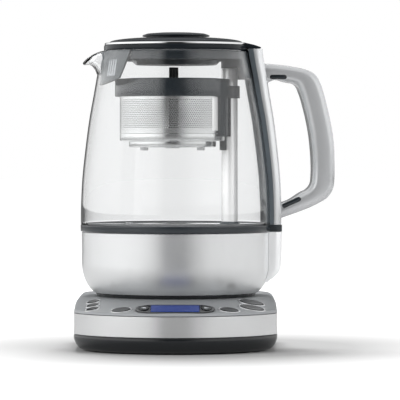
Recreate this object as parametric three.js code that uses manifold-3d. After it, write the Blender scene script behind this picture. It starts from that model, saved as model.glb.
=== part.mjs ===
// Automatic tea maker: a stand with a control panel, a glass kettle that lifts off it,
// a lift-off lid and a brewing basket that a screw inside a column raises and lowers.
// Millimetres, +Z up, +X towards the kettle's handle, -Y towards the front.

import * as THREE from 'three';
import { mergeVertices } from 'three/addons/utils/BufferGeometryUtils.js';
import Module from 'manifold-3d';

// Shared clearances and steps
const clearance = 0.3;
const overrun = 4;
const turnSteps = 32;
const smallTurnSteps = 14;
const hiddenTurnSteps = 20;
const cornerSteps = 4;

// Stand, seen from above
const standHalfWidth = 80.8;
const standFrontBow = 4.2;
const standFrontReach = 117.4;
const standBackReach = 95;
const standFrontCorner = 25;
const standBackCorner = 28;
const standFrontSteps = 12;

// Stand, pan and band
const panBottom = 1;
const panCurveTop = 10;
const panTop = 13;
const panInset = 8.4;
const panFloor = 2.4;
const panWall = 2.2;
const panCurveShares = [[1, 0], [0.85, 0.12], [0.4, 0.56], [0.1, 0.88]];
const bandHeight = 17;
const bandWall = 1.6;
const lipHeight = 6.5;
const lipWall = 2;

// Stand, deck
const deckFrontEdge = 1.6;
const deckSideSteps = 4;
const deckRise = 9.1;
const deckRampRun = 54;
const deckWall = 2.4;
const deckFrontRound = 1.6;
const deckBackRound = 6.5;
const deckRoundSteps = 3;
const deckRingShares = [0.3, 0.5, 0.7, 0.85];

// Stand, connector
const connectorRadius = 17;
const connectorRise = 9.5;
const connectorBore = 5.6;
const connectorFlange = 3;
const connectorFlangeThickness = 2;
const connectorGroove = 2.4;

// Stand, panel
const screenLength = 62;
const screenDepth = 29;
const screenWindowLength = 38;
const screenWindowDepth = 22;
const screenSetBack = 18.5;
const screenThickness = 3;
const screenProud = 0.3;
const screenGlassProud = 0.35;
const screenGlassThickness = 1.4;
const arrowButtonOffset = 24.6;
const arrowButtonHalfWidth = 3.9;
const arrowButtonHalfDepth = 7.2;
const roundButtonOffset = 42.2;
const roundButtonSetBack = 12;
const roundButtonHalfWidth = 7.3;
const smallButtonOffset = 65.5;
const smallButtonSetBacks = [11, 24.5, 37.5];
const smallButtonHalfWidth = 4.8;
const ovalButtonOffset = 60.4;
const ovalButtonSetBacks = [16.2, 35.3];
const ovalButtonHalfWidth = 9.6;
const ovalButtonHalfDepth = 8.2;
const buttonHeight = 4.2;
const buttonProud = 0.8;
const buttonEdge = 0.6;
const buttonGap = 0.35;

// Stand, inside and underneath
const controlBoardLength = 100;
const controlBoardDepth = 36;
const controlBoardBack = 58;
const controlBoardLevel = 22;
const powerBoardLength = 80;
const powerBoardDepth = 50;
const powerBoardLevel = 10;
const boardThickness = 1.6;
const boardPostRadius = 3;
const boardPostInset = 6;
const powerBoardFront = 2;
const rubberFootRadius = 7;
const rubberFootHeight = 1.9;
const rubberFootOffset = 50;
const rubberFootFrontReach = 68;
const rubberFootBackReach = 66;
const glandOffset = 38;
const glandLevel = 18.6;
const glandRadius = 4.3;
const glandBore = 3.1;
const glandFlange = 1.4;
const glandFlangeThickness = 1.5;
const glandDepth = 7;

// Kettle, bowl and bottom cover
const kettleTurn = 5;
const bowlRadius = 76.1;
const bowlWall = 1.5;
const bowlCornerReach = 18.3;
const bowlCornerRise = 26;
const bowlBottomShare = 0.9;
const bowlHeight = 51.6;
const bowlCornerSteps = 5;
const coverFootInset = 12.1;
const coverFootWidth = 2.5;
const coverFootFlare = 1;
const coverFootHeight = 2.7;
const coverPlate = 2.2;
const coverHole = 23;
const socketFlange = 2.6;
const socketFlangeThickness = 1.5;
const socketDrop = 1.2;
const socketRoof = 2.2;
const socketPinRadius = 5.1;
const socketPinDrop = 5;

// Kettle, band, glass and heating plate
const jugBandProud = 1.2;
const jugBandHeight = 5.3;
const jugBandWall = 1.8;
const jugBandShelf = 2;
const jugBandShelfInset = 10.1;
const glassBaseInset = 0.3;
const glassWall = 2.6;
const glassHeight = 140.2;
const glassTopRadius = 60.4;
const glassHeightShares = [0, 0.1, 0.26, 0.42, 0.6, 0.75, 0.862];
const glassInsetShares = [0, 0.002, 0.066, 0.205, 0.404, 0.63, 0.795];
const glassNeckShares = [[0.892, 0.843], [0.922, 0.892], [0.951, 0.94], [0.976, 0.976]];
const spoutReach = 15.2;
const spoutDrop = 10.3;
const spoutHalfAngle = 27;
const spoutOuterShares = [[0.34, 1.49], [0.5, 1.2], [0.63, 1.09], [0.93, 1.12], [1, 1]];
const spoutInnerShares = [[0.2, 1.37], [0.37, 1.08], [0.5, 0.915], [0.65, 0.85], [0.9, 0.86]];
const spoutRimShare = [0.97, 0.9];
const spoutLipPower = 2.2;
const spoutSteps = 10;
const glassRoundSteps = 30;
const glassRimRound = 0.9;
const glassSeatGap = 0.45;
const sealThickness = 1.4;
const sealHeight = 5.6;
const plateThickness = 1.2;
const plateRimHeight = 3.9;
const plateRimWidth = 1.2;
const elementMotorGap = 6.2;
const elementTube = 3.5;
const probeRadius = 3;
const probeHeight = 12;
const probeRise = 5;
const probeElementGap = 9.5;

// Kettle, strip, bracket and handle
const spineHalfWidth = 20.8;
const spineDepthBottom = 6.9;
const spineDepthTop = 8.4;
const spineTopHeight = 1.5;
const spineWall = 1.6;
const spineCorner = 5.5;
const spineEdgeDepth = 0.5;
const spineSteps = 8;
const bracketProud = 0.4;
const bracketLift = 9.1;
const bracketCurve = 14;
const bracketShares = [[0.13, -0.36], [0.23, -0.21], [0.46, 0.32], [0.69, 0.68], [0.93, 0.86], [1.39, 0.95]];
const handleReach = 45.3;
const handleLift = 4.1;
const handleTopDrop = 10.1;
const handleRootInset = 1;
const handleEndInset = 10;
const handleWidth = 26;
const handleRound = 5;
const handleRoundSteps = 2;
const handleFilletShare = 0.48;
const handleOuterShares = [
  [-0.5, 1.005], [0.02, 0.991], [0.38, 0.971], [0.56, 0.951], [0.65, 0.928], [0.72, 0.893], [0.8, 0.818],
  [0.923, 0.638], [0.983, 0.509], [1, 0.4], [1, 0.252], [0.969, 0.188], [0.914, 0.156], [0.825, 0.125],
  [0.557, 0.0745], [0.2, 0.027], [-0.2, -0.022],
];
const handleInnerShares = [
  [-0.2, 0.075], [0.035, 0.104], [0.2, 0.125], [0.4, 0.171], [0.5, 0.188], [0.57, 0.214], [0.605, 0.252],
  [0.611, 0.36], [0.579, 0.509], [0.519, 0.637], [0.428, 0.766], [0.378, 0.818], [0.335, 0.852],
  [0.27, 0.871], [0.11, 0.882], [-0.015, 0.895], [-0.14, 0.886], [-0.5, 0.82],
];
const handleSections = 30;
const insertDepth = 3;
const insertRecess = 1.2;
const upperInsertLength = 13.2;
const upperInsertStandoff = 9.6;
const upperInsertLevelShare = 0.913;
const lowerInsertLength = 16;
const lowerInsertStandoff = 8.7;
const lowerInsertLevelShare = 0.108;
const lowerInsertTilt = 24;

// Kettle, column and lift
const columnRadius = 6.5;
const columnWall = 1;
const columnInset = 0.1;
const columnTopDrop = 14;
const columnFootWidth = 1.4;
const columnFootHeight = 5;
const screwRadius = 2;
const screwTail = 4;
const motorRadius = 12;
const motorHeight = 36;
const nutHeight = 12;
const nutGap = 0.35;
const headCapHeight = 9;
const headCapHalfWidth = 7.4;
const headPanelHalfAngle = 34;
const headPanelDrop = 22.3;
const headPanelThickness = 2.2;

// Kettle, rim collar and spout filter
const glassFitGap = 0.48;
const collarEndGapAngle = 0.8;
const rimCollarHeight = 7.3;
const rimCollarDepth = 4.8;
const filterHalfAngle = 47;
const filterDrop = 22.5;
const filterDip = 5;
const filterThickness = 1.8;
const filterSteps = 14;
const filterWindowAngle = 28;
const filterWindowWidth = 11;
const filterWindowHeight = 13;
const filterWindowDrop = 14;

// Lid
const lidInset = 2.1;
const lidThickness = 4.2;
const lidHollow = 2.4;
const lidEdge = 0.8;
const lidPlateWallShare = 0.66;
const lidSkirtGap = 2.2;
const lidSkirtWall = 3;
const lidPlateDrop = 4.1;
const lidLensInset = 7.1;
const lidLensDepth = 7.5;
const lidLensChamfer = 4;
const trimInset = 0.6;
const trimWidth = 3.7;
const trimHeight = 1.6;
const domeInset = 0.5;
const domeEdge = 2.2;
const domeRise = 4.3;
const domeShares = [[1, 0], [0.88, 0.36], [0.7, 0.74], [0.5, 0.97]];
const knobRadius = 27.1;
const knobEdge = 1.2;
const knobRise = 2.1;
const knobFlatShare = 0.85;
const knobShoulderShare = 0.6;
const tongueHalfWidth = 20.5;
const tongueOverhang = 6.6;
const tongueTip = 1;
const tongueRise = 4;
const tongueBendShare = 0.6;
const lidSealHeight = 4;

// Basket
const basketOffset = -2.8;
const collarInset = 13.8;
const collarDrop = 22.5;
const collarHeight = 14.3;
const collarWall = 2;
const collarEdge = 1;
const collarStep = 3.4;
const meshInset = 3.9;
const meshWall = 0.8;
const basketRimDrop = 30;
const basketRimHeight = 5.7;
const basketRimWall = 1.2;
const capInset = 7.5;
const capHeight = 5.2;
const capWall = 1.4;
const capTabDrop = 2.6;
const capTabInset = 7.2;
const capTabRadius = 3.2;
const basketLidThickness = 3.6;
const basketLidRise = 1;
const basketLidFlatShare = 0.85;
const stemRadius = 3.8;
const stemRise = 9.4;
const stemOffset = 0.9;
const sleeveWall = 1.4;
const sleeveDrop = 5.5;
const sleeveHeight = 10;
const sleeveGap = 0.35;
const shieldWall = 2.4;
const shieldHalfAngle = 37;
const shieldHeight = 32.2;
const shieldTipDrop = 11;
const toeShare = 0.5;

// Places that follow from the sizes above
const degree = Math.PI / 180;
const standFrontRadius = standHalfWidth + standFrontBow;
const standFrontCentre = standFrontRadius - standFrontReach;
const bandBottom = panTop + clearance;
const bandTop = bandBottom + bandHeight;
const deckBottom = bandTop + clearance;
const deckFront = deckBottom + deckFrontEdge;
const deckTop = deckFront + deckRise;
const deckSlope = deckRise / deckRampRun;
const connectorTop = deckTop + connectorRise;
const kettleBottom = deckTop + clearance;
const bowlTop = kettleBottom + bowlHeight;
const coverFootRadius = bowlRadius - coverFootInset;
const coverFootTop = kettleBottom + coverFootHeight;
const coverPlateTop = coverFootTop + coverPlate;
const jugBandRadius = bowlRadius + jugBandProud;
const jugBandShelfInner = bowlRadius - jugBandShelfInset;
const jugBandBottom = bowlTop + clearance;
const jugBandTop = jugBandBottom + jugBandHeight;
const glassBaseRadius = jugBandRadius - glassBaseInset;
const glassBottom = jugBandTop + clearance;
const glassTop = glassBottom + glassHeight;
const shelfTop = jugBandBottom + jugBandShelf / 2;
const glassFootBottom = shelfTop + clearance;
const glassFootRadius = jugBandRadius - jugBandWall - glassSeatGap;
const sealOuter = glassFootRadius - glassWall - glassSeatGap;
const plateRadius = sealOuter - sealThickness - clearance;
const plateBottom = shelfTop + clearance;
const plateTop = plateBottom + plateThickness;
const spineBottom = jugBandTop + clearance;
const spineTop = glassTop + spineTopHeight;
const bracketBottom = kettleBottom + bracketLift;
const bracketReach = glassBaseRadius + spineDepthBottom + bracketProud - bowlRadius;
const handleRoot = glassBaseRadius + spineDepthBottom - handleRootInset;
const handleBottom = spineBottom + handleLift;
const handleHeight = glassTop - handleTopDrop - handleBottom;
const rimCollarTop = glassTop - clearance;
const rimCollarBottom = rimCollarTop - rimCollarHeight;
const rimCollarInner = glassTopRadius - rimCollarDepth;
const filterSideBottom = rimCollarTop - filterDrop;
const filterMiddleBottom = filterSideBottom - filterDip;
const filterWindowMiddle = rimCollarTop - filterWindowDrop;
const collarRadius = glassTopRadius - collarInset;
const columnOffset = basketOffset + collarRadius - columnInset;
const elementRadius = columnOffset - motorRadius - elementTube - elementMotorGap;
const probeOffset = elementRadius + elementTube + probeRadius + probeElementGap;
const columnTop = rimCollarTop - columnTopDrop;
const headPanelBottom = rimCollarTop - headPanelDrop;
const collarTop = rimCollarTop - collarDrop;
const collarBottom = collarTop - collarHeight;
const sleeveTop = collarTop - sleeveDrop;
const sleeveBottom = sleeveTop - sleeveHeight;
const meshRadius = collarRadius - meshInset;
const basketRimTop = collarBottom - basketRimDrop;
const basketRimBottom = basketRimTop - basketRimHeight;
const capRadius = meshRadius - capInset;
const capBottom = basketRimBottom - capHeight;
const capTabOffset = capRadius - capTabInset;
const stemTop = collarTop + stemRise;
const shieldBottom = collarBottom - shieldHeight;
const shieldTip = shieldBottom - shieldTipDrop;
const lidRadius = glassTopRadius - lidInset;
const lidSkirtRadius = rimCollarInner - lidSkirtGap;
const lidPlateLevel = glassTop - lidPlateDrop;
const lidLensRadius = columnOffset - lidLensInset;
const lidLensBottom = lidPlateLevel - lidLensDepth;
const trimOuter = lidRadius - trimInset;
const trimInner = trimOuter - trimWidth;
const domeRadius = trimInner - domeInset;
const tongueReach = glassTopRadius + tongueOverhang;
const lidBottom = glassTop + clearance;
const lidTop = lidBottom + lidThickness;
const domeBottom = lidTop + clearance;
const domeTop = domeBottom + domeEdge + domeRise;
const knobBottom = domeTop + clearance;
const notchRadius = columnRadius + sleeveGap + sleeveWall + clearance;

const wasm = await Module();
wasm.setup();

// Geometry helpers

function facesOut(geometry) {
  const position = geometry.getAttribute('position');
  const index = geometry.getIndex();
  const corners = [new THREE.Vector3(), new THREE.Vector3(), new THREE.Vector3()];
  let volume = 0;
  for (let face = 0; face < index.count; face += 3) {
    corners.forEach((corner, k) => corner.fromBufferAttribute(position, index.getX(face + k)));
    volume += corners[0].dot(corners[1].cross(corners[2]));
  }
  if (volume < 0) {
    for (let face = 0; face < index.count; face += 3) {
      const first = index.getX(face);
      index.setX(face, index.getX(face + 1));
      index.setX(face + 1, first);
    }
  }
  return geometry;
}

// Vertices and faces alone, with seams closed and collapsed faces dropped
function merged(geometry) {
  const bare = new THREE.BufferGeometry();
  bare.setAttribute('position', geometry.getAttribute('position').clone());
  if (geometry.getIndex()) {
    bare.setIndex(geometry.getIndex().clone());
  }
  const closed = mergeVertices(bare);
  const index = closed.getIndex();
  const kept = [];
  for (let face = 0; face < index.count; face += 3) {
    const [a, b, c] = [index.getX(face), index.getX(face + 1), index.getX(face + 2)];
    if (a !== b && b !== c && c !== a) {
      kept.push(a, b, c);
    }
  }
  closed.setIndex(kept);
  return facesOut(closed);
}

function toSolid(geometry) {
  const closed = merged(geometry);
  return new wasm.Manifold(new wasm.Mesh({
    numProp: 3,
    vertProperties: new Float32Array(closed.getAttribute('position').array),
    triVerts: new Uint32Array(closed.getIndex().array),
  }));
}

function toGeometry(solid) {
  const mesh = solid.getMesh();
  const geometry = new THREE.BufferGeometry();
  geometry.setAttribute('position', new THREE.BufferAttribute(new Float32Array(mesh.vertProperties), 3));
  geometry.setIndex(new THREE.BufferAttribute(new Uint32Array(mesh.triVerts), 1));
  return geometry;
}

function cut(geometry, ...cutters) {
  return toGeometry(cutters.reduce((solid, cutter) => solid.subtract(toSolid(cutter)), toSolid(geometry)));
}

function join(geometry, ...others) {
  return toGeometry(others.reduce((solid, other) => solid.add(toSolid(other)), toSolid(geometry)));
}

function within(geometry, limit) {
  return toGeometry(toSolid(geometry).intersect(toSolid(limit)));
}

// Triangles that fill a flat ring, turned the same way as the ring
function flatFaces(ring) {
  const normal = new THREE.Vector3();
  ring.forEach((point, index) => {
    const next = ring[(index + 1) % ring.length];
    normal.x += (point.y - next.y) * (point.z + next.z);
    normal.y += (point.z - next.z) * (point.x + next.x);
    normal.z += (point.x - next.x) * (point.y + next.y);
  });
  const size = [Math.abs(normal.x), Math.abs(normal.y), Math.abs(normal.z)];
  const across = size.indexOf(Math.max(...size));
  const [u, v] = [['y', 'z'], ['z', 'x'], ['x', 'y']][across];
  const outline = ring.map((point) => new THREE.Vector2(point[u], point[v]));
  const turn = Math.sign(THREE.ShapeUtils.area(outline));
  return THREE.ShapeUtils.triangulateShape(outline, []).map((face) => {
    const area = THREE.ShapeUtils.area(face.map((corner) => outline[corner]));
    return Math.sign(area) === turn ? face : [face[0], face[2], face[1]];
  });
}

// A solid through rings of equal counts, capped at both ends, or closed on itself as a loop
function ringSolid(rings, loop = false) {
  const count = rings[0].length;
  const faces = [];
  const strips = loop ? rings.length : rings.length - 1;
  for (let row = 0; row < strips; row += 1) {
    const low = row * count;
    const high = ((row + 1) % rings.length) * count;
    for (let k = 0; k < count; k += 1) {
      const next = (k + 1) % count;
      faces.push(low + k, low + next, high + next, low + k, high + next, high + k);
    }
  }
  if (!loop) {
    const last = (rings.length - 1) * count;
    flatFaces(rings[0]).forEach(([a, b, c]) => faces.push(a, c, b));
    flatFaces(rings[rings.length - 1]).forEach(([a, b, c]) => faces.push(last + a, last + b, last + c));
  }
  const geometry = new THREE.BufferGeometry().setFromPoints(rings.flat());
  geometry.setIndex(faces);
  return merged(geometry);
}

function turned(profile, steps = turnSteps) {
  const points = profile.map(([radius, level]) => new THREE.Vector2(radius, level));
  const onAxis = profile[0][0] === 0 && profile[profile.length - 1][0] === 0;
  if (!onAxis) {
    points.push(points[0].clone());
  }
  return merged(new THREE.LatheGeometry(points, steps).rotateX(Math.PI / 2));
}

function disc(radius, bottom, top, steps = turnSteps) {
  return turned([[0, bottom], [radius, bottom], [radius, top], [0, top]], steps);
}

function tube(inner, outer, bottom, top, steps = turnSteps) {
  return turned([[inner, bottom], [outer, bottom], [outer, top], [inner, top]], steps);
}

function block(left, right, front, back, bottom, top) {
  const geometry = new THREE.BoxGeometry(right - left, back - front, top - bottom);
  return geometry.translate((left + right) / 2, (front + back) / 2, (bottom + top) / 2);
}

// A wall that follows an arc about the axis; section gives the corners [radius, level] at an angle
function arcWall(fromAngle, toAngle, steps, section) {
  const rings = [];
  for (let k = 0; k <= steps; k += 1) {
    const angle = mix(fromAngle, toAngle, k / steps);
    const [along, across] = [Math.cos(angle * degree), Math.sin(angle * degree)];
    rings.push(section(angle).map(([radius, level]) => (
      new THREE.Vector3(radius * along, radius * across, level)
    )));
  }
  return ringSolid(rings);
}

function mix(from, to, share) {
  return from + (to - from) * share;
}

// Straight lines through a table of [place, value] pairs that rise in place
function fromTable(table, place) {
  const last = table.length - 1;
  if (place <= table[0][0]) {
    return table[0][1];
  }
  for (let k = 0; k < last; k += 1) {
    const [low, high] = [table[k], table[k + 1]];
    if (place <= high[0]) {
      return mix(low[1], high[1], (place - low[0]) / (high[0] - low[0]));
    }
  }
  return table[last][1];
}

function finish(color, roughness, metalness, opacity = 1) {
  return new THREE.MeshStandardMaterial({ color, roughness, metalness, opacity, transparent: opacity < 1 });
}

const finishes = {
  steel: finish(0xb9bbbd, 0.35, 1),
  polished: finish(0xc9cacc, 0.15, 1),
  deck: finish(0xb5b7ba, 0.4, 0.8),
  black: finish(0x16181a, 0.3, 0),
  slate: finish(0x50565b, 0.45, 0),
  rubber: finish(0x1c1c1c, 0.8, 0),
  clear: finish(0xe8eef0, 0.05, 0, 0.3),
  screen: finish(0x1c3f86, 0.2, 0),
  board: finish(0x1f5a35, 0.6, 0),
  brass: finish(0xb08d4a, 0.35, 1),
  grey: finish(0x8b9095, 0.5, 0),
};

const model = new THREE.Group();
const kettle = new THREE.Group();
kettle.rotation.z = kettleTurn * degree;
const basket = new THREE.Group();
basket.position.x = basketOffset;
kettle.add(basket);
model.add(kettle);

function piece(name, geometry, material, parent = model) {
  const mesh = new THREE.Mesh(merged(geometry), material);
  mesh.name = name;
  parent.add(mesh);
  return mesh;
}

// Stand outline: points on the widest line with their outward directions, right half then left half

function arcPoints(centre, radius, fromAngle, toAngle, steps) {
  const points = [];
  for (let k = 0; k <= steps; k += 1) {
    const angle = mix(fromAngle, toAngle, k / steps);
    const [nx, ny] = [Math.cos(angle), Math.sin(angle)];
    points.push({ x: centre[0] + radius * nx, y: centre[1] + radius * ny, nx, ny });
  }
  return points;
}

function standOutline() {
  const cornerX = standHalfWidth - standFrontCorner;
  const cornerY = standFrontCentre - Math.sqrt((standFrontRadius - standFrontCorner) ** 2 - cornerX ** 2);
  const meeting = Math.atan2(cornerY - standFrontCentre, cornerX);
  const backCentre = [standHalfWidth - standBackCorner, standBackReach - standBackCorner];
  const right = [
    ...arcPoints([0, standFrontCentre], standFrontRadius, -Math.PI / 2, meeting, standFrontSteps / 2),
    ...arcPoints([cornerX, cornerY], standFrontCorner, meeting, 0, cornerSteps).slice(1),
  ];
  for (let k = 1; k < deckSideSteps; k += 1) {
    const y = mix(cornerY, backCentre[1], k / deckSideSteps);
    right.push({ x: standHalfWidth, y, nx: 1, ny: 0 });
  }
  right.push(...arcPoints(backCentre, standBackCorner, 0, Math.PI / 2, cornerSteps));
  const left = right.slice(1).reverse().map((p) => ({ x: -p.x, y: p.y, nx: -p.nx, ny: p.ny }));
  return [...right, ...left];
}

const outline = standOutline();

function standRing(inset, level) {
  return outline.map((p) => new THREE.Vector3(p.x - p.nx * inset, p.y - p.ny * inset, level));
}

function frontLine(x) {
  return standFrontCentre - Math.sqrt(standFrontRadius ** 2 - x ** 2);
}

function deckLevel(x, y) {
  return Math.min(deckTop, deckFront + deckSlope * (y - frontLine(x)));
}

// Outward direction of the ramp at x
function deckNormal(x) {
  const bow = x / Math.sqrt(standFrontRadius ** 2 - x ** 2);
  return new THREE.Vector3(deckSlope * bow, -deckSlope, 1).normalize();
}

// A group that lies on the ramp, its own +Z along the ramp's outward direction
function panelPlace(x, setBack) {
  const place = new THREE.Group();
  const y = frontLine(x) + setBack;
  place.position.set(x, y, deckLevel(x, y));
  place.quaternion.setFromUnitVectors(new THREE.Vector3(0, 0, 1), deckNormal(x));
  place.updateMatrix();
  model.add(place);
  return place;
}

function ovalPrism(halfWidth, halfDepth, bottom, top, edge = 0) {
  const profile = [
    [0, bottom], [halfWidth, bottom], [halfWidth, top - edge], [halfWidth - edge, top], [0, top],
  ];
  return turned(profile, smallTurnSteps).scale(1, halfDepth / halfWidth, 1);
}

// Stand

function addPan() {
  const rise = panCurveTop - panBottom;
  const rings = panCurveShares.map(([inset, height]) => (
    standRing(panInset * inset, panBottom + rise * height)
  ));
  const lipOuter = bandWall + clearance;
  const lipInner = lipOuter + lipWall;
  rings.push(standRing(0, panCurveTop));
  rings.push(standRing(0, panTop));
  rings.push(standRing(lipOuter, panTop));
  rings.push(standRing(lipOuter, panTop + lipHeight));
  rings.push(standRing(lipInner, panTop + lipHeight));
  rings.push(standRing(lipInner, panCurveTop));
  rings.push(standRing(panInset + panWall, panBottom + panFloor));
  const posts = boardPosts(controlBoardPlace(), controlBoardLevel).concat(
    boardPosts(powerBoardPlace(), powerBoardLevel),
  );
  const recesses = rubberFootPlaces().map(([x, y]) => (
    disc(rubberFootRadius + clearance, panBottom - overrun, rubberFootHeight + clearance, smallTurnSteps)
      .translate(x, y, 0)
  ));
  const shell = cut(ringSolid(rings), ...recesses, glandHole());
  piece('stand_pan', join(shell, ...posts), finishes.black);
}

function controlBoardPlace() {
  return [
    -controlBoardLength / 2, controlBoardLength / 2,
    -controlBoardBack - controlBoardDepth, -controlBoardBack,
  ];
}

function powerBoardPlace() {
  return [-powerBoardLength / 2, powerBoardLength / 2, powerBoardFront, powerBoardFront + powerBoardDepth];
}

function boardPosts([left, right, front, back], level) {
  const corners = [];
  [left + boardPostInset, right - boardPostInset].forEach((x) => {
    [front + boardPostInset, back - boardPostInset].forEach((y) => {
      const post = disc(boardPostRadius, panBottom + panFloor / 2, level - clearance, smallTurnSteps);
      corners.push(post.translate(x, y, 0));
    });
  });
  return corners;
}

function rubberFootPlaces() {
  return [-rubberFootOffset, rubberFootOffset].flatMap((x) => (
    [[x, -rubberFootFrontReach], [x, rubberFootBackReach]]
  ));
}

function glandHole() {
  const depth = bandWall + clearance + lipWall + overrun;
  return disc(glandRadius + clearance, -depth, overrun, smallTurnSteps)
    .rotateX(-Math.PI / 2).translate(glandOffset, standBackReach, glandLevel);
}

function addGland() {
  const flange = glandRadius + glandFlange;
  const profile = [
    [glandBore, -glandDepth], [glandRadius, -glandDepth], [glandRadius, clearance], [flange, clearance],
    [flange, clearance + glandFlangeThickness], [glandBore, clearance + glandFlangeThickness],
  ];
  const gland = piece('cord_gland', turned(profile, smallTurnSteps).rotateX(-Math.PI / 2), finishes.rubber);
  gland.position.set(glandOffset, standBackReach, glandLevel);
}

function addBand() {
  const rings = [
    standRing(0, bandBottom), standRing(0, bandTop),
    standRing(bandWall, bandTop), standRing(bandWall, bandBottom),
  ];
  piece('stand_band', cut(ringSolid(rings, true), glandHole()), finishes.steel);
}

function addStandFeet() {
  rubberFootPlaces().forEach(([x, y], index) => {
    const foot = disc(rubberFootRadius, 0, rubberFootHeight, smallTurnSteps);
    piece(`rubber_foot_${index + 1}`, foot, finishes.rubber).position.set(x, y, 0);
  });
}

function addBoards() {
  [
    ['control_board', controlBoardPlace(), controlBoardLevel],
    ['power_board', powerBoardPlace(), powerBoardLevel],
  ]
    .forEach(([name, place, level]) => {
      piece(name, block(...place, level, level + boardThickness), finishes.board);
    });
}

// Corner of the deck at one point of the outline: how far in and how high at a share of the rounding
function deckEdgePoint(p, share) {
  const full = deckLevel(p.x - p.nx * deckBackRound, p.y - p.ny * deckBackRound);
  const round = mix(deckFrontRound, deckBackRound, Math.max(0, (full - deckFront) / deckRise));
  const angle = share * Math.PI / 2;
  const inset = round * (1 - Math.cos(angle));
  const level = deckLevel(p.x - p.nx * round, p.y - p.ny * round);
  return new THREE.Vector3(p.x - p.nx * inset, p.y - p.ny * inset, level - round * (1 - Math.sin(angle)));
}

function deckShell() {
  const hole = connectorRadius - connectorFlange;
  const centre = outline.map((p) => new THREE.Vector2(p.x, p.y).setLength(hole));
  const lipOuter = bandWall + clearance;
  const lipInner = lipOuter + lipWall;
  const edge = outline.map((p) => deckEdgePoint(p, 1));
  const inner = standRing(lipInner, 0);
  const topRing = (share) => edge.map((p, k) => {
    const [x, y] = [mix(centre[k].x, p.x, share), mix(centre[k].y, p.y, share)];
    return new THREE.Vector3(x, y, deckLevel(x, y));
  });
  const underRing = (share) => inner.map((p, k) => {
    const [x, y] = [mix(centre[k].x, p.x, share), mix(centre[k].y, p.y, share)];
    return new THREE.Vector3(x, y, deckLevel(x, y) - deckWall);
  });
  const rings = [topRing(0), ...deckRingShares.map(topRing)];
  for (let k = deckRoundSteps; k >= 0; k -= 1) {
    rings.push(outline.map((p) => deckEdgePoint(p, k / deckRoundSteps)));
  }
  rings.push(standRing(0, deckBottom));
  rings.push(standRing(lipOuter, deckBottom));
  rings.push(standRing(lipOuter, deckBottom - lipHeight));
  rings.push(standRing(lipInner, deckBottom - lipHeight));
  rings.push(underRing(1), ...deckRingShares.slice().reverse().map(underRing), underRing(0));
  return ringSolid(rings, true);
}

function bezelOutline(length, depth) {
  const round = depth / 2;
  const straight = length / 2 - round;
  const shape = new THREE.Shape();
  shape.absarc(straight, 0, round, -Math.PI / 2, Math.PI / 2);
  shape.absarc(-straight, 0, round, Math.PI / 2, Math.PI * 1.5);
  return shape;
}

function bezelPrism(length, depth, bottom, top) {
  const settings = { depth: top - bottom, bevelEnabled: false, curveSegments: smallTurnSteps / 2 };
  return new THREE.ExtrudeGeometry(bezelOutline(length, depth), settings).translate(0, 0, bottom);
}

const panelHoles = [];

function panelHole(place, geometry) {
  panelHoles.push(geometry.applyMatrix4(place.matrix));
}

function addButton(name, place, halfWidth, halfDepth) {
  const button = ovalPrism(halfWidth, halfDepth, buttonProud - buttonHeight, buttonProud, buttonEdge);
  panelHole(place, buttonHole(halfWidth, halfDepth));
  return piece(name, button, finishes.black, place);
}

function buttonHole(halfWidth, halfDepth) {
  return ovalPrism(halfWidth + buttonGap, halfDepth + buttonGap, -deckWall - overrun, overrun);
}

function addScreen() {
  const place = panelPlace(0, screenSetBack);
  const top = screenProud;
  const floor = top - screenThickness;
  const windowFloor = top - screenGlassThickness - clearance;
  const arrows = [['button_arrow_left', -arrowButtonOffset], ['button_arrow_right', arrowButtonOffset]];
  const cutters = arrows.map(([, x]) => (
    buttonHole(arrowButtonHalfWidth, arrowButtonHalfDepth).translate(x, 0, 0)
  ));
  const halfLength = screenWindowLength / 2 + clearance;
  const halfDepth = screenWindowDepth / 2 + clearance;
  cutters.push(block(-halfLength, halfLength, -halfDepth, halfDepth, windowFloor, top + overrun));
  const housing = bezelPrism(screenLength, screenDepth, floor, top);
  piece('screen_housing', cut(housing, ...cutters), finishes.black, place);
  const glass = [
    -screenWindowLength / 2, screenWindowLength / 2, -screenWindowDepth / 2, screenWindowDepth / 2,
  ];
  const glassFloor = windowFloor + clearance;
  piece('screen', block(...glass, glassFloor, glassFloor + screenGlassThickness + screenGlassProud),
    finishes.screen, place);
  arrows.forEach(([name, x]) => {
    const button = ovalPrism(arrowButtonHalfWidth, arrowButtonHalfDepth, buttonProud - buttonHeight,
      buttonProud + screenProud, buttonEdge);
    piece(name, button, finishes.black, place).position.x = x;
  });
  panelHole(place, bezelPrism(screenLength + 2 * clearance, screenDepth + 2 * clearance,
    -deckWall - overrun, overrun));
}

function addPanel() {
  addScreen();
  [['left', -1], ['right', 1]].forEach(([side, sign]) => {
    const place = panelPlace(sign * roundButtonOffset, roundButtonSetBack);
    addButton(`button_round_${side}`, place, roundButtonHalfWidth, roundButtonHalfWidth);
  });
  ['front', 'middle', 'back'].forEach((spot, index) => {
    const place = panelPlace(-smallButtonOffset, smallButtonSetBacks[index]);
    addButton(`button_small_${spot}`, place, smallButtonHalfWidth, smallButtonHalfWidth);
  });
  ['front', 'back'].forEach((spot, index) => {
    const place = panelPlace(ovalButtonOffset, ovalButtonSetBacks[index]);
    addButton(`button_oval_${spot}`, place, ovalButtonHalfWidth, ovalButtonHalfDepth);
  });
}

function addDeck() {
  const hole = disc(connectorRadius + clearance, deckFront, connectorTop, hiddenTurnSteps);
  piece('stand_deck', cut(deckShell(), ...panelHoles, hole), finishes.deck);
}

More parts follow.
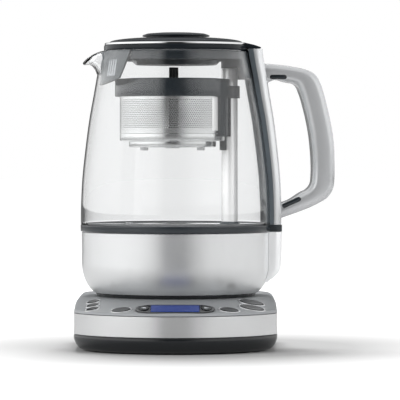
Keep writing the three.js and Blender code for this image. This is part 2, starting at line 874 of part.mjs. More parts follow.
function addConnector() {
  const flangeTop = deckTop - deckWall - clearance;
  const flangeBottom = flangeTop - connectorFlangeThickness;
  const flange = connectorRadius + connectorFlange;
  const boreFloor = connectorTop - socketPinDrop - connectorGroove;
  const profile = [
    [0, boreFloor], [connectorBore, boreFloor],
    [connectorBore, connectorTop], [connectorRadius, connectorTop],
    [connectorRadius, flangeTop], [flange, flangeTop], [flange, flangeBottom], [0, flangeBottom],
  ];
  piece('stand_connector', turned(profile, hiddenTurnSteps), finishes.black);
}

addPan();
addBand();
addGland();
addStandFeet();
addBoards();
addPanel();
addDeck();
addConnector();

// Kettle

function bowlProfile(inset, bottom) {
  const reach = bowlCornerReach - inset;
  const rise = bowlCornerRise - inset;
  const centre = [bowlRadius - bowlCornerReach, kettleBottom + bowlCornerRise];
  const start = Math.asin(bottom);
  const points = [];
  for (let k = 0; k <= bowlCornerSteps; k += 1) {
    const angle = start * (1 - k / bowlCornerSteps);
    points.push([centre[0] + reach * Math.cos(angle), centre[1] - rise * Math.sin(angle)]);
  }
  points.push([bowlRadius - inset, bowlTop]);
  return points;
}

// The bowl's outside as a filled solid, grown so that what lies against it keeps its clearance
function bowlEnvelope() {
  const grow = bowlRadius / Math.cos(Math.PI / turnSteps) - bowlRadius + clearance;
  const profile = bowlProfile(-grow, bowlBottomShare);
  const last = profile[profile.length - 1];
  return turned([[0, profile[0][1]], ...profile, [last[0], last[1] + overrun], [0, last[1] + overrun]]);
}

function addBowl() {
  const outer = bowlProfile(0, bowlBottomShare);
  const inner = bowlProfile(bowlWall, bowlBottomShare);
  inner[0][1] = outer[0][1];
  piece('bowl_shell', turned([...outer, ...inner.reverse()]), finishes.steel, kettle);
}

function addBottomCover() {
  const inside = coverFootRadius - coverFootWidth;
  const profile = [
    [inside, kettleBottom], [coverFootRadius, kettleBottom],
    [coverFootRadius + coverFootFlare, coverFootTop],
    [coverFootRadius - coverFootFlare, coverFootTop], [coverFootRadius - coverFootFlare, coverPlateTop],
    [coverHole, coverPlateTop], [coverHole, coverFootTop - clearance], [inside, coverFootTop - clearance],
  ];
  piece('bottom_cover', turned(profile), finishes.black, kettle);
}

function addSocket() {
  const cavity = connectorRadius + clearance;
  const outer = coverHole - clearance;
  const ceiling = connectorTop + clearance;
  const flangeBottom = coverPlateTop + clearance;
  const flange = coverHole + socketFlange;
  const pinBottom = ceiling - socketPinDrop;
  const profile = [
    [0, pinBottom], [socketPinRadius, pinBottom], [socketPinRadius, ceiling], [cavity, ceiling],
    [cavity, kettleBottom + socketDrop], [outer, kettleBottom + socketDrop], [outer, flangeBottom],
    [flange, flangeBottom], [flange, flangeBottom + socketFlangeThickness],
    [outer, flangeBottom + socketFlangeThickness], [outer, ceiling + socketRoof], [0, ceiling + socketRoof],
  ];
  piece('connector_socket', turned(profile, hiddenTurnSteps), finishes.black, kettle);
}

// Outline of the strip on the handle side, from one edge round the outside to the other
function stripOutside(edge, reach, halfWidth, corner) {
  const points = [[edge, -halfWidth]];
  [[-1, -Math.PI / 2], [1, 0]].forEach(([side, start]) => {
    for (let k = 0; k <= cornerSteps; k += 1) {
      const angle = start + (Math.PI / 2) * (k / cornerSteps);
      points.push([
        reach - corner + corner * Math.cos(angle),
        side * (halfWidth - corner) + corner * Math.sin(angle),
      ]);
    }
  });
  points.push([edge, halfWidth]);
  return points;
}

function levelRing(points, level) {
  return points.map(([x, y]) => new THREE.Vector3(x, y, level));
}

const glassProfile = glassHeightShares.map((height, k) => [height, glassInsetShares[k]])
  .concat(glassNeckShares, [[1, 1]])
  .map(([height, inset]) => [
    mix(glassBottom, glassTop, height), mix(glassBaseRadius, glassTopRadius, inset),
  ]);

function glassRadius(level) {
  return fromTable(glassProfile, level);
}

function glassInside(level) {
  return glassRadius(level) - glassWall;
}

// The jug's outside as a filled solid, grown so that what lies against it keeps its clearance
function glassEnvelope() {
  const grow = glassBaseRadius / Math.cos(Math.PI / turnSteps) - glassBaseRadius + clearance;
  const points = glassProfile.map(([level, radius]) => [radius + grow, level]);
  const [low, high] = [points[0], points[points.length - 1]];
  return turned([
    [0, low[1] - overrun], [low[0], low[1] - overrun], ...points, [high[0], high[1] + overrun],
    [0, high[1] + overrun],
  ]);
}

function spineReach(level) {
  const share = (level - spineBottom) / (spineTop - spineBottom);
  return glassRadius(level) + mix(spineDepthBottom, spineDepthTop, share);
}

function spineLevels() {
  const levels = [];
  for (let k = 0; k <= spineSteps; k += 1) {
    levels.push(mix(spineBottom, spineTop, k / spineSteps));
  }
  return levels;
}

function addSpine() {
  const coverRings = [];
  const coreRings = [];
  spineLevels().forEach((level) => {
    const edge = glassRadius(level) + spineEdgeDepth;
    const reach = spineReach(level);
    const outside = stripOutside(edge, reach, spineHalfWidth, spineCorner);
    const inside = stripOutside(
      edge, reach - spineWall, spineHalfWidth - spineWall, spineCorner - spineWall,
    );
    coverRings.push(levelRing([...outside, ...inside.reverse()], level));
    const gap = spineWall + clearance;
    const filling = stripOutside(edge - clearance, reach - gap, spineHalfWidth - gap, spineCorner - gap);
    const seat = spineHalfWidth + spineWall;
    const behind = glassTopRadius - overrun;
    const flange = edge - clearance;
    const core = [[behind, -seat], [flange, -seat], ...filling, [flange, seat], [behind, seat]];
    coreRings.push(levelRing(core, level));
  });
  piece('spine_cover', ringSolid(coverRings), finishes.polished, kettle);
  piece('spine_core', cut(ringSolid(coreRings), glassEnvelope()), finishes.black, kettle);
}

function addBracket() {
  const back = bowlRadius - bowlCornerReach;
  const levels = bracketShares.map(([height, reach]) => [
    bracketBottom + bracketCurve * height, bowlRadius + bracketReach * reach,
  ]);
  levels.push([bowlTop, bowlRadius + bracketReach]);
  const rings = levels.map(([level, reach]) => (
    levelRing(stripOutside(back, reach, spineHalfWidth, spineCorner), level)
  ));
  piece('bracket_cover', cut(ringSolid(rings), bowlEnvelope()), finishes.steel, kettle);
}

function addJugBand() {
  const inner = jugBandRadius - jugBandWall;
  const register = bowlRadius - bowlWall - clearance;
  const profile = [
    [jugBandRadius, jugBandBottom], [jugBandRadius, jugBandTop], [inner, jugBandTop], [inner, shelfTop],
    [jugBandShelfInner, shelfTop], [jugBandShelfInner, shelfTop - jugBandShelf],
    [register, shelfTop - jugBandShelf], [register, jugBandBottom],
  ];
  const back = bowlRadius - bowlCornerReach;
  const reach = bowlRadius + bracketReach + clearance;
  const bulge = stripOutside(back, reach, spineHalfWidth + clearance, spineCorner);
  const step = cut(
    ringSolid([levelRing(bulge, jugBandBottom), levelRing(bulge, jugBandTop)]),
    disc(inner + jugBandWall / 2, jugBandBottom - overrun, jugBandTop + overrun),
  );
  piece('jug_band', join(turned(profile), step), finishes.black, kettle);
}

// Angles round the jug, closer together at the spout, with each angle's share of the spout
function glassAngles() {
  const angles = [];
  for (let k = 0; k < spoutSteps; k += 1) {
    const aside = mix(-spoutHalfAngle, spoutHalfAngle, k / spoutSteps);
    angles.push([180 + aside, (1 + Math.cos(Math.PI * aside / spoutHalfAngle)) / 2]);
  }
  for (let k = 0; k < glassRoundSteps; k += 1) {
    angles.push([mix(180 + spoutHalfAngle, 540 - spoutHalfAngle, k / glassRoundSteps), 0]);
  }
  return angles;
}

function glassRing(radius, level, spout) {
  return glassAngles().map(([angle, share]) => {
    const [spoutRadius, spoutLevel] = spout
      ? [glassTopRadius + spoutReach * spout[0], glassTop - spoutDrop * spout[1]]
      : [radius, level];
    const r = mix(radius, spoutRadius, share);
    const z = mix(level, spoutLevel, share ** spoutLipPower);
    return new THREE.Vector3(r * Math.cos(angle * degree), r * Math.sin(angle * degree), z);
  });
}

function addGlass() {
  const plain = glassHeightShares.length;
  const outer = [glassRing(glassFootRadius, glassFootBottom), glassRing(glassFootRadius, glassBottom)];
  const inner = [glassRing(glassFootRadius - glassWall, glassFootBottom)];
  glassProfile.slice(0, -1).forEach(([level, radius], k) => {
    outer.push(glassRing(radius, level, spoutOuterShares[k - plain]));
    inner.push(glassRing(radius - glassWall, level, spoutInnerShares[k - plain]));
  });
  outer.push(glassRing(glassTopRadius, glassTop - glassRimRound, spoutOuterShares.at(-1)));
  outer.push(glassRing(glassTopRadius - glassWall / 2, glassTop, spoutRimShare));
  inner.push(glassRing(glassTopRadius - glassWall, glassTop - glassRimRound, spoutInnerShares.at(-1)));
  piece('glass_jug', ringSolid([...outer, ...inner.reverse()], true), finishes.clear, kettle);
}

function addFloor() {
  const seal = [
    [sealOuter - sealThickness, glassFootBottom], [sealOuter, glassFootBottom],
    [sealOuter, glassFootBottom + sealHeight], [sealOuter - sealThickness, glassFootBottom + sealHeight],
  ];
  piece('jug_seal', turned(seal), finishes.rubber, kettle);
  const rim = plateRadius - plateRimWidth;
  const plate = turned([
    [0, plateBottom], [plateRadius, plateBottom], [plateRadius, plateBottom + plateRimHeight],
    [rim, plateBottom + plateRimHeight], [rim, plateTop], [0, plateTop],
  ]);
  const holes = [
    disc(screwRadius + clearance, plateBottom - overrun, plateTop + overrun, smallTurnSteps)
      .translate(columnOffset, 0, 0),
    disc(probeRadius + clearance, plateBottom - overrun, plateTop + overrun, smallTurnSteps)
      .translate(-probeOffset, 0, 0),
  ];
  piece('heating_plate', cut(plate, ...holes), finishes.steel, kettle);
  const element = new THREE.TorusGeometry(elementRadius, elementTube, smallTurnSteps / 2, hiddenTurnSteps);
  element.translate(0, 0, plateBottom - clearance - elementTube);
  piece('heating_element', element, finishes.steel, kettle);
  const probe = disc(probeRadius, plateTop + probeRise - probeHeight, plateTop + probeRise, smallTurnSteps);
  piece('temperature_probe', probe.translate(-probeOffset, 0, 0), finishes.steel, kettle);
}

function handlePoint([across, up]) {
  return new THREE.Vector3(handleRoot + handleReach * across, handleBottom + handleHeight * up, 0);
}

// Evenly spaced points along one side of the handle, from its upper end to its lower end
function handleSide(points) {
  const curve = new THREE.CatmullRomCurve3(points, false, 'centripetal');
  return curve.getSpacedPoints(handleSections);
}

// Cross-section of the handle between two facing points: a rectangle with rounded corners
function handleSection(outside, inside) {
  const thickness = outside.distanceTo(inside);
  const inward = inside.clone().sub(outside).normalize();
  const round = Math.min(handleRound, thickness * handleFilletShare);
  const half = handleWidth / 2;
  const ring = [];
  [[1, 1, 0], [1, -1, 1], [-1, -1, 2], [-1, 1, 3]].forEach(([side, depthSide, quarter]) => {
    const middleY = side * (half - round);
    const middleDepth = depthSide > 0 ? thickness - round : round;
    for (let k = 0; k <= handleRoundSteps; k += 1) {
      const angle = Math.PI / 2 * (1 - quarter - k / handleRoundSteps);
      const y = middleY + round * Math.cos(angle);
      const depth = middleDepth + round * Math.sin(angle);
      ring.push(new THREE.Vector3(outside.x + inward.x * depth, y, outside.y + inward.y * depth));
    }
  });
  return ring;
}

function spineEnvelope() {
  const rings = spineLevels().map((level) => (
    levelRing(stripOutside(0, spineReach(level) + clearance, spineHalfWidth + clearance, spineCorner), level)
  ));
  return ringSolid(rings);
}

function handleInsert(length, standoff, levelShare, tilt, reach, grow) {
  const prism = bezelPrism(length + 2 * grow, insertDepth + 2 * grow, -reach, reach);
  const level = handleBottom + handleHeight * levelShare;
  const across = spineReach(level) + standoff;
  return prism.rotateX(Math.PI / 2).rotateY(-tilt * degree).translate(across, 0, level);
}

function addHandle() {
  const end = glassTopRadius - handleEndInset;
  const outer = handleOuterShares.map(handlePoint);
  const inner = handleInnerShares.map(handlePoint).reverse();
  outer.unshift(new THREE.Vector3(end, outer[0].y, 0));
  inner.unshift(new THREE.Vector3(end, inner[0].y, 0));
  const inside = handleSide(inner);
  const solid = ringSolid(handleSide(outer).map((point, k) => handleSection(point, inside[k])));
  const upper = [upperInsertLength, upperInsertStandoff, upperInsertLevelShare, 0];
  const lower = [lowerInsertLength, lowerInsertStandoff, lowerInsertLevelShare, lowerInsertTilt];
  const half = handleWidth / 2;
  const holes = [upper, lower].map((place) => handleInsert(...place, half + overrun, clearance));
  piece('handle_shell', cut(solid, spineEnvelope(), ...holes), finishes.polished, kettle);
  const reach = half - insertRecess;
  piece('handle_insert_upper', handleInsert(...upper, reach, 0), finishes.black, kettle);
  piece('handle_insert_lower', handleInsert(...lower, reach, 0), finishes.black, kettle);
}

addBowl();
addBottomCover();
addSocket();
addSpine();
addBracket();
addJugBand();
addGlass();
addFloor();
addHandle();

// Column and lift

function atColumn(geometry) {
  return geometry.translate(columnOffset, 0, 0);
}

function addColumn() {
  const bottom = plateTop + clearance;
  const bore = columnRadius - columnWall;
  const foot = columnRadius + clearance;
  const pipe = tube(bore, columnRadius, bottom, columnTop, smallTurnSteps);
  piece('column', atColumn(pipe), finishes.polished, kettle);
  const footRing = tube(foot, foot + columnFootWidth, bottom, bottom + columnFootHeight, smallTurnSteps);
  piece('column_foot', atColumn(footRing), finishes.grey, kettle);
  const motorTop = plateBottom - clearance;
  const screwBottom = motorTop - screwTail;
  const socket = disc(screwRadius + clearance, screwBottom - clearance, motorTop + overrun, smallTurnSteps);
  const motor = cut(disc(motorRadius, motorTop - motorHeight, motorTop, smallTurnSteps), socket);
  piece('lift_motor', atColumn(motor), finishes.steel, kettle);
  const screw = disc(screwRadius, screwBottom, columnTop - clearance, smallTurnSteps);
  piece('lead_screw', atColumn(screw), finishes.brass, kettle);
  const middle = (sleeveBottom + sleeveTop) / 2;
  const nut = tube(screwRadius + nutGap, bore - nutGap, middle - nutHeight / 2, middle + nutHeight / 2,
    smallTurnSteps);
  piece('lift_nut', atColumn(nut), finishes.steel, kettle);
}

function followGlass(bottom, top, thickness) {
  const low = glassInside(bottom) - glassFitGap;
  const high = glassInside(top) - glassFitGap;
  return [[low, bottom], [high, top], [high - thickness, top], [low - thickness, bottom]];
}

function addColumnHead() {
  const bottom = columnTop + clearance;
  const panelTop = rimCollarBottom - clearance;
  const panel = arcWall(-headPanelHalfAngle, headPanelHalfAngle, filterSteps, () => (
    followGlass(headPanelBottom, panelTop, headPanelThickness)
  ));
  const left = columnOffset - columnRadius + clearance;
  const inside = glassInside(panelTop) - headPanelThickness;
  const cap = block(left, columnOffset + columnRadius, -headCapHalfWidth, headCapHalfWidth,
    bottom, bottom + headCapHeight);
  const web = block(columnOffset, inside, -headCapHalfWidth / 2, headCapHalfWidth / 2, bottom, panelTop);
  piece('column_head', join(panel, cap, web), finishes.slate, kettle);
}

function addRimCollar() {
  const opening = filterHalfAngle + collarEndGapAngle;
  const section = () => {
    const [low, high] = followGlass(rimCollarBottom, rimCollarTop, 0);
    return [low, high, [rimCollarInner, rimCollarTop], [rimCollarInner, rimCollarBottom]];
  };
  const ring = arcWall(opening - 180, 180 - opening, turnSteps - filterSteps, section);
  piece('rim_collar', ring, finishes.slate, kettle);
}

function addSpoutFilter() {
  const panel = arcWall(180 - filterHalfAngle, 180 + filterHalfAngle, filterSteps, (angle) => {
    const aside = (angle - 180) / filterHalfAngle;
    const bottom = mix(filterMiddleBottom, filterSideBottom, aside ** 2);
    return followGlass(bottom, rimCollarTop, filterThickness);
  });
  const windows = [-1, 1].map((side) => block(
    0, glassBaseRadius, -filterWindowWidth / 2, filterWindowWidth / 2,
    filterWindowMiddle - filterWindowHeight / 2, filterWindowMiddle + filterWindowHeight / 2,
  ).rotateZ((180 + side * filterWindowAngle) * degree));
  piece('spout_filter', cut(panel, ...windows), finishes.grey, kettle);
}

// Lid

function addLid() {
  const ceiling = lidBottom + lidHollow;
  const hollow = lidSkirtRadius + clearance;
  const body = turned([
    [0, ceiling], [hollow, ceiling], [hollow, lidBottom], [lidRadius, lidBottom],
    [lidRadius, lidTop - lidEdge], [lidRadius - lidEdge, lidTop], [0, lidTop],
  ]);
  const tongue = cut(tonguePrism(0), disc(domeRadius + clearance, lidTop, domeTop));
  piece('lid_body', join(body, tongue), finishes.black, kettle);
  const trimBottom = lidTop + clearance;
  const trimTop = trimBottom + trimHeight;
  const trim = turned([
    [trimInner, trimBottom], [trimOuter, trimBottom], [trimOuter, trimTop - trimHeight / 2],
    [trimOuter - trimHeight / 2, trimTop], [trimInner, trimTop],
  ]);
  piece('lid_trim_ring', cut(trim, tonguePrism(clearance)), finishes.polished, kettle);
  const crown = domeShares.map(([across, up]) => (
    [domeRadius * across, domeBottom + domeEdge + domeRise * up]
  ));
  const dome = turned([[0, domeBottom], [domeRadius, domeBottom], ...crown, [0, domeTop]]);
  piece('lid_dome', dome, finishes.black, kettle);
  const knob = turned([
    [0, knobBottom], [knobRadius, knobBottom], [knobRadius, knobBottom + knobEdge],
    [knobRadius * knobFlatShare, knobBottom + mix(knobEdge, knobEdge + knobRise, knobShoulderShare)],
    [0, knobBottom + knobEdge + knobRise],
  ]);
  piece('lid_knob', knob, finishes.black, kettle);
  addLidPlate(ceiling);
}

function tonguePrism(grow) {
  const bottom = spineTop + clearance - grow;
  const inside = Math.sqrt(trimInner ** 2 - tongueHalfWidth ** 2) - overrun;
  const outline = [
    [inside, lidTop - lidEdge - grow], [lidRadius - lidEdge, lidTop - lidEdge - grow],
    [lidRadius - lidEdge, bottom], [tongueReach + grow, bottom],
    [tongueReach + grow, bottom + tongueTip + grow],
    [mix(trimInner, tongueReach, tongueBendShare), bottom + tongueRise * tongueBendShare + tongueTip + grow],
    [inside, bottom + tongueRise + tongueTip + grow],
  ].map(([x, z]) => new THREE.Vector2(x, z));
  const settings = { depth: 2 * (tongueHalfWidth + grow), bevelEnabled: false };
  return new THREE.ExtrudeGeometry(new THREE.Shape(outline), settings)
    .rotateX(Math.PI / 2).translate(0, tongueHalfWidth + grow, 0);
}

function addLidPlate(ceiling) {
  const lens = lidLensRadius;
  const inside = lidSkirtRadius - lidSkirtWall;
  const wall = lidSkirtWall * lidPlateWallShare;
  const top = ceiling - clearance;
  const profile = [
    [0, lidLensBottom], [lens - lidLensChamfer, lidLensBottom], [lens, lidLensBottom + lidLensChamfer],
    [lens, lidPlateLevel], [lidSkirtRadius, lidPlateLevel], [lidSkirtRadius, top], [inside, top],
    [inside, lidPlateLevel + wall], [lens - wall, lidPlateLevel + wall],
    [lens - wall, lidLensBottom + lidLensChamfer + wall / 2],
    [lens - lidLensChamfer - wall / 2, lidLensBottom + wall], [0, lidLensBottom + wall],
  ];
  piece('lid_plate', turned(profile), finishes.slate, kettle);
  const sealInner = lidSkirtRadius + clearance;
  const sealTop = lidPlateLevel + lidSealHeight - clearance;
  const seal = tube(sealInner, rimCollarInner - 2 * clearance, lidPlateLevel, sealTop);
  piece('lid_seal', seal, finishes.grey, kettle);
}

// Basket

const columnPlace = columnOffset - basketOffset;
const columnBore = columnRadius + sleeveGap;

function columnCutter(radius, bottom, top) {
  return disc(radius, bottom - overrun, top + overrun, smallTurnSteps).translate(columnPlace, 0, 0);
}

function sleeveDisc(bottom, top) {
  return disc(columnBore + sleeveWall, bottom, top, smallTurnSteps).translate(columnPlace, 0, 0);
}

function addBasketCollar() {
  const inner = meshRadius + clearance;
  const seat = collarTop - collarStep;
  const rim = collarRadius - collarWall;
  const ring = turned([
    [inner, collarBottom], [collarRadius, collarBottom], [collarRadius, collarTop - collarEdge],
    [collarRadius - collarEdge, collarTop], [rim, collarTop], [rim, seat], [inner, seat],
  ]);
  const sleeve = sleeveDisc(sleeveBottom, sleeveTop);
  const trough = within(
    sleeveDisc(shieldBottom, sleeveTop),
    block(0, columnPlace, -collarRadius, collarRadius, shieldBottom, sleeveTop),
  );
  const shieldInner = meshRadius + clearance;
  const shield = arcWall(-shieldHalfAngle, shieldHalfAngle, filterSteps, () => [
    [shieldInner, shieldBottom], [shieldInner + shieldWall, shieldBottom],
    [shieldInner + shieldWall, collarBottom + clearance], [shieldInner, collarBottom + clearance],
  ]);
  const toe = within(
    sleeveDisc(shieldTip, shieldBottom + clearance),
    block(capRadius, columnPlace - columnBore * toeShare, -collarRadius, collarRadius, shieldTip, sleeveTop),
  );
  const bore = columnCutter(columnBore, shieldTip, collarTop);
  piece('basket_collar', cut(join(ring, sleeve, trough, shield, toe), bore), finishes.slate, basket);
}

function addBasket() {
  const notch = (bottom, top) => columnCutter(notchRadius, bottom, top);
  const meshTop = collarTop - collarStep - clearance;
  const meshBottom = basketRimTop + clearance;
  const wall = tube(meshRadius - meshWall, meshRadius, meshBottom, meshTop);
  piece('basket_mesh', cut(wall, notch(meshBottom, meshTop)), finishes.steel, basket);
  const floorInner = capRadius - basketRimWall;
  const rim = turned([
    [floorInner, basketRimBottom], [meshRadius, basketRimBottom], [meshRadius, basketRimTop],
    [meshRadius - basketRimWall, basketRimTop],
    [meshRadius - basketRimWall, basketRimBottom + basketRimWall],
    [floorInner, basketRimBottom + basketRimWall],
  ]);
  piece('basket_rim', cut(rim, notch(basketRimBottom, basketRimTop)), finishes.steel, basket);
  const capTop = basketRimBottom - clearance;
  const cap = turned([
    [0, capBottom], [capRadius - capWall, capBottom], [capRadius, capBottom + capWall], [capRadius, capTop],
    [capRadius - capWall, capTop], [capRadius - capWall, capBottom + capWall], [0, capBottom + capWall],
  ]);
  const tabs = [-1, 1].map((side) => (
    disc(capTabRadius, capBottom - capTabDrop, capBottom + capWall / 2, smallTurnSteps)
      .translate(side * capTabOffset, 0, 0)
  ));
  piece('basket_cap', join(cap, ...tabs), finishes.steel, basket);
  const lidInner = stemRadius + clearance;
  const lidOuter = collarRadius - collarWall - clearance;
  const lidFloor = collarTop - collarStep + clearance;
  const lid = turned([
    [0, lidFloor], [lidOuter, lidFloor], [lidOuter, lidFloor + basketLidThickness - basketLidRise],
    [lidOuter * basketLidFlatShare, lidFloor + basketLidThickness], [0, lidFloor + basketLidThickness],
  ]);
  const stemHole = disc(lidInner, lidFloor - overrun, stemTop, smallTurnSteps).translate(stemOffset, 0, 0);
  piece('basket_lid', cut(lid, stemHole, notch(lidFloor, collarTop)), finishes.slate, basket);
  const stem = disc(stemRadius, capBottom + capWall + clearance, stemTop, smallTurnSteps);
  piece('basket_stem', stem.translate(stemOffset, 0, 0), finishes.black, basket);
}

addColumn();
addColumnHead();
addRimCollar();
addSpoutFilter();
addLid();
addBasketCollar();
addBasket();

// The origin is under the middle of the object, on the surface it stands on
const assembly = new THREE.Group();
const extent = new THREE.Box3().setFromObject(model, true);
const middle = extent.getCenter(new THREE.Vector3());
model.position.set(-middle.x, -middle.y, 0);
assembly.add(model);

export default assembly;
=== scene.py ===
"""Automatic tea maker: the looks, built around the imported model.

Sizes are in millimetres and become metres when a mesh is made. +Z is up and -Y is the front.
"""

import math

import bmesh
import bpy
from mathutils import Matrix, Vector


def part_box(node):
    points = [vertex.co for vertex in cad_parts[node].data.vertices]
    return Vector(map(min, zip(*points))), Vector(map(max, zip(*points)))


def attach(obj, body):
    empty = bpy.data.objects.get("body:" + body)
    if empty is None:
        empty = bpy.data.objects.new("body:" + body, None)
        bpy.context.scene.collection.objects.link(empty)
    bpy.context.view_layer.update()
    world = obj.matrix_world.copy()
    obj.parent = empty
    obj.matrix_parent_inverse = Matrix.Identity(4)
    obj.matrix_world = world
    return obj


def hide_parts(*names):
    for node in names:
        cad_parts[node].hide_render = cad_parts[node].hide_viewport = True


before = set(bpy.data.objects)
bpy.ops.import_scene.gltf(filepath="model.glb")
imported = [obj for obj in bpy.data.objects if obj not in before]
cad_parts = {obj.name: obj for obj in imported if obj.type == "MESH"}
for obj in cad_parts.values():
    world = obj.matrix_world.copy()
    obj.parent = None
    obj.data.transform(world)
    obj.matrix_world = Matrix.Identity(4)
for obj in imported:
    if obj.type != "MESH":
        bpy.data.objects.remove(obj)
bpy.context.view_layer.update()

mm = 0.001

# Steps and turns
turn_steps = 128
small_steps = 40
round_steps = 5
tube_steps = 80
front_steps = 20
corner_steps = 10
side_steps = 12
back_steps = 14
deck_edge_steps = 6
deck_under_steps = 8
bowl_corner_steps = 20
glass_curve_steps = 4
bracket_curve_steps = 5
handle_curve_steps = 8
rim_collar_steps = 96
filter_steps = 20
pane_steps = 8
dome_steps = 24
shield_steps = 24
cell_corners = 6
half_turn = 180
full_turn = 360
sharp_angle = math.radians(32)

# Clearances, cuts and roundings
gap = 0.3
tiny = 0.01
overrun = 4
hole_depth = 9
cut_edge = 0.1
hair_round = 0.2
crisp_round = 0.3
small_round = 0.4
light_round = 0.5
plain_round = 0.6
soft_round = 0.8
full_round = 0.9
firm_round = 1
broad_round = 1.5
deep_round = 2
wide_round = 3

# Camera
camera_place = (-0.0045, -2.6627, 0.1657)
camera_pitch = 1.007
camera_lens = 297
sensor_width = 36

# Stand
stand_half_width = 80.8
stand_front_radius = 85
stand_front_reach = 117.4
stand_back_reach = 95
stand_front_corner = 25
stand_back_corner = 28
pan_bottom = 1
pan_curve_top = 10
pan_top = 13
pan_inset = 8.4
pan_lip = 2
pan_shares = [(1, 0), (0.8, 0.02), (0.62, 0.1), (0.42, 0.25), (0.22, 0.5), (0.07, 0.8), (0, 1)]
band_height = 17
band_wall = 1.6
band_edge = 0.5
lip_height = 6.5
lip_wall = 2
deck_front_edge = 1.6
deck_rise = 9.1
deck_ramp_run = 54
deck_blend = 1.2
deck_wall = 2.4
deck_front_round = 1.6
deck_back_round = 6.5
deck_ring_count = 22
deck_hole_inset = 3
connector_radius = 17
connector_rise = 9.5
connector_bore = 5.6
connector_bore_depth = 7.4
connector_root = 4.7

# Panel
screen_length = 62
screen_depth = 29
window_length = 38
window_depth = 22
screen_set_back = 18.5
screen_thickness = 3
screen_proud = 0.3
screen_floor_depth = 1.4
screen_rise = 0.3
bezel_round = 0.25
bevel_share = 0.3
button_height = 4.2
button_proud = 0.8
button_edge = 0.6
button_dish = 0.35
button_crown = 0.05
button_flat_share = 0.72
button_gap = 0.35
ring_width = 1.3
ring_rise = 0.55
ring_outer_share = 0.3
ring_inner_share = 0.4
ring_sink = 0.5
panel_buttons = {
    "button_round_left": (-42.2, 12, 7.3, 7.3),
    "button_round_right": (42.2, 12, 7.3, 7.3),
    "button_small_front": (-65.5, 11, 4.8, 4.8),
    "button_small_middle": (-65.5, 24.5, 4.8, 4.8),
    "button_small_back": (-65.5, 37.5, 4.8, 4.8),
    "button_oval_front": (60.4, 16.2, 9.6, 8.2),
    "button_oval_back": (60.4, 35.3, 9.6, 8.2),
}
arrow_offset = 24.6
arrow_half_width = 3.9
arrow_half_depth = 7.2
arrow_mark_length = 3.4
arrow_mark_height = 0.12

# Bowl, band and jug
bowl_radius = 76.1
bowl_wall = 1.5
bowl_corner_reach = 18.3
bowl_corner_rise = 26
bowl_bottom_share = 0.9
bowl_top = 93.2
bowl_lip_width = 0.3
bowl_lip_height = 0.4
band_radius = 77.3
jug_band_height = 5.3
jug_band_wall = 1.8
jug_band_taper = 0.2
shelf_rise = 1
shelf_inner = 66
shelf_thickness = 2
glass_base_radius = 77
glass_wall = 2.6
glass_top = 239.3
glass_top_radius = 60.4
glass_shares = [
    (0, 0), (0.1, 0.002), (0.26, 0.066), (0.42, 0.205), (0.6, 0.404), (0.75, 0.63), (0.862, 0.795),
    (0.892, 0.843), (0.922, 0.892), (0.951, 0.94), (0.976, 0.976), (1, 1),
]
plain_rows = 7
spout_reach = 15.2
spout_drop = 10.3
spout_half_angle = 27
spout_outer = [(0.34, 1.49), (0.5, 1.2), (0.63, 1.09), (0.93, 1.12), (1, 1)]
spout_inner = [(0.2, 1.37), (0.37, 1.08), (0.5, 0.915), (0.65, 0.85), (0.9, 0.86)]
spout_rim = (0.97, 0.9)
spout_lip_power = 2.2
glass_angle_steps = 160
glass_rim_round = 0.9
glass_seat_gap = 0.45
seal_thickness = 1.4
seal_height = 5.6
plate_thickness = 1.2
plate_rim_height = 3.9
plate_rim_width = 1.2
plate_ridge_radii = (30, 52)
plate_ridge_half_width = 2
plate_ridge_height = 0.8

# Strip, bracket and handle
spine_half_width = 20.8
spine_depth_bottom = 6.9
spine_depth_top = 8.4
spine_top_height = 1.5
spine_wall = 1.6
spine_glass_gap = 0.5
spine_corner = 5.5
spine_steps = 40
bracket_reach = 8.2
bracket_bottom = 50.7
bracket_curve = 14
bracket_bowl_gap = 0.1
bracket_cut_top = 120
bracket_shares = [
    (0.13, -0.36), (0.23, -0.21), (0.46, 0.32), (0.69, 0.68), (0.93, 0.86), (1.39, 0.95), (3.03, 1),
]
handle_root_inset = 1
handle_reach = 45.3
handle_bottom = 103.2
handle_height = 126
handle_width = 26
handle_round = 5
handle_outer = [
    (-0.5, 1.005), (0.02, 0.991), (0.38, 0.971), (0.56, 0.951), (0.65, 0.928), (0.72, 0.893), (0.8, 0.818),
    (0.923, 0.638), (0.983, 0.509), (1, 0.4), (1, 0.252), (0.969, 0.188), (0.914, 0.156), (0.825, 0.125),
    (0.557, 0.0745), (0.2, 0.027), (-0.2, -0.022),
]
handle_inner = [
    (-0.2, 0.075), (0.035, 0.104), (0.2, 0.125), (0.4, 0.171), (0.5, 0.188), (0.57, 0.214), (0.605, 0.252),
    (0.611, 0.36), (0.579, 0.509), (0.519, 0.637), (0.428, 0.766), (0.378, 0.818), (0.335, 0.852),
    (0.27, 0.871), (0.11, 0.882), (-0.015, 0.895), (-0.14, 0.886), (-0.5, 0.82),
]
handle_sections = 72
handle_round_steps = 6
handle_fillet_share = 0.48
handle_overrun = 20
insert_depth = 3
insert_recess = 1.2
handle_inserts = {
    "handle_insert_upper": (13.2, 9.6, 218.2, 0),
    "handle_insert_lower": (16, 8.7, 116.8, 24),
}

# Column, collar and filter
column_radius = 6.5
column_wall = 1
column_offset = 43.7
column_top = 225
column_foot_width = 1.4
column_foot_height = 5
column_foot_taper = 0.4
rim_collar_bottom = 231.7
rim_collar_inner = 55.6
collar_lip = 3.6
collar_groove = 0.5
glass_fit_gap = 0.48
filter_half_angle = 47
filter_side_gap = 0.8
filter_low_half_angle = 38.5
filter_side_bottom = 216.5
filter_middle_bottom = 211.5
filter_thickness = 1.8
filter_window_angle = 28
filter_window_width = 11
filter_window_height = 13
filter_window_middle = 225
filter_bar_width = 0.9
filter_bars = 3
filter_slot_reach = 40
filter_pane = 0.4
filter_pane_sink = 0.05

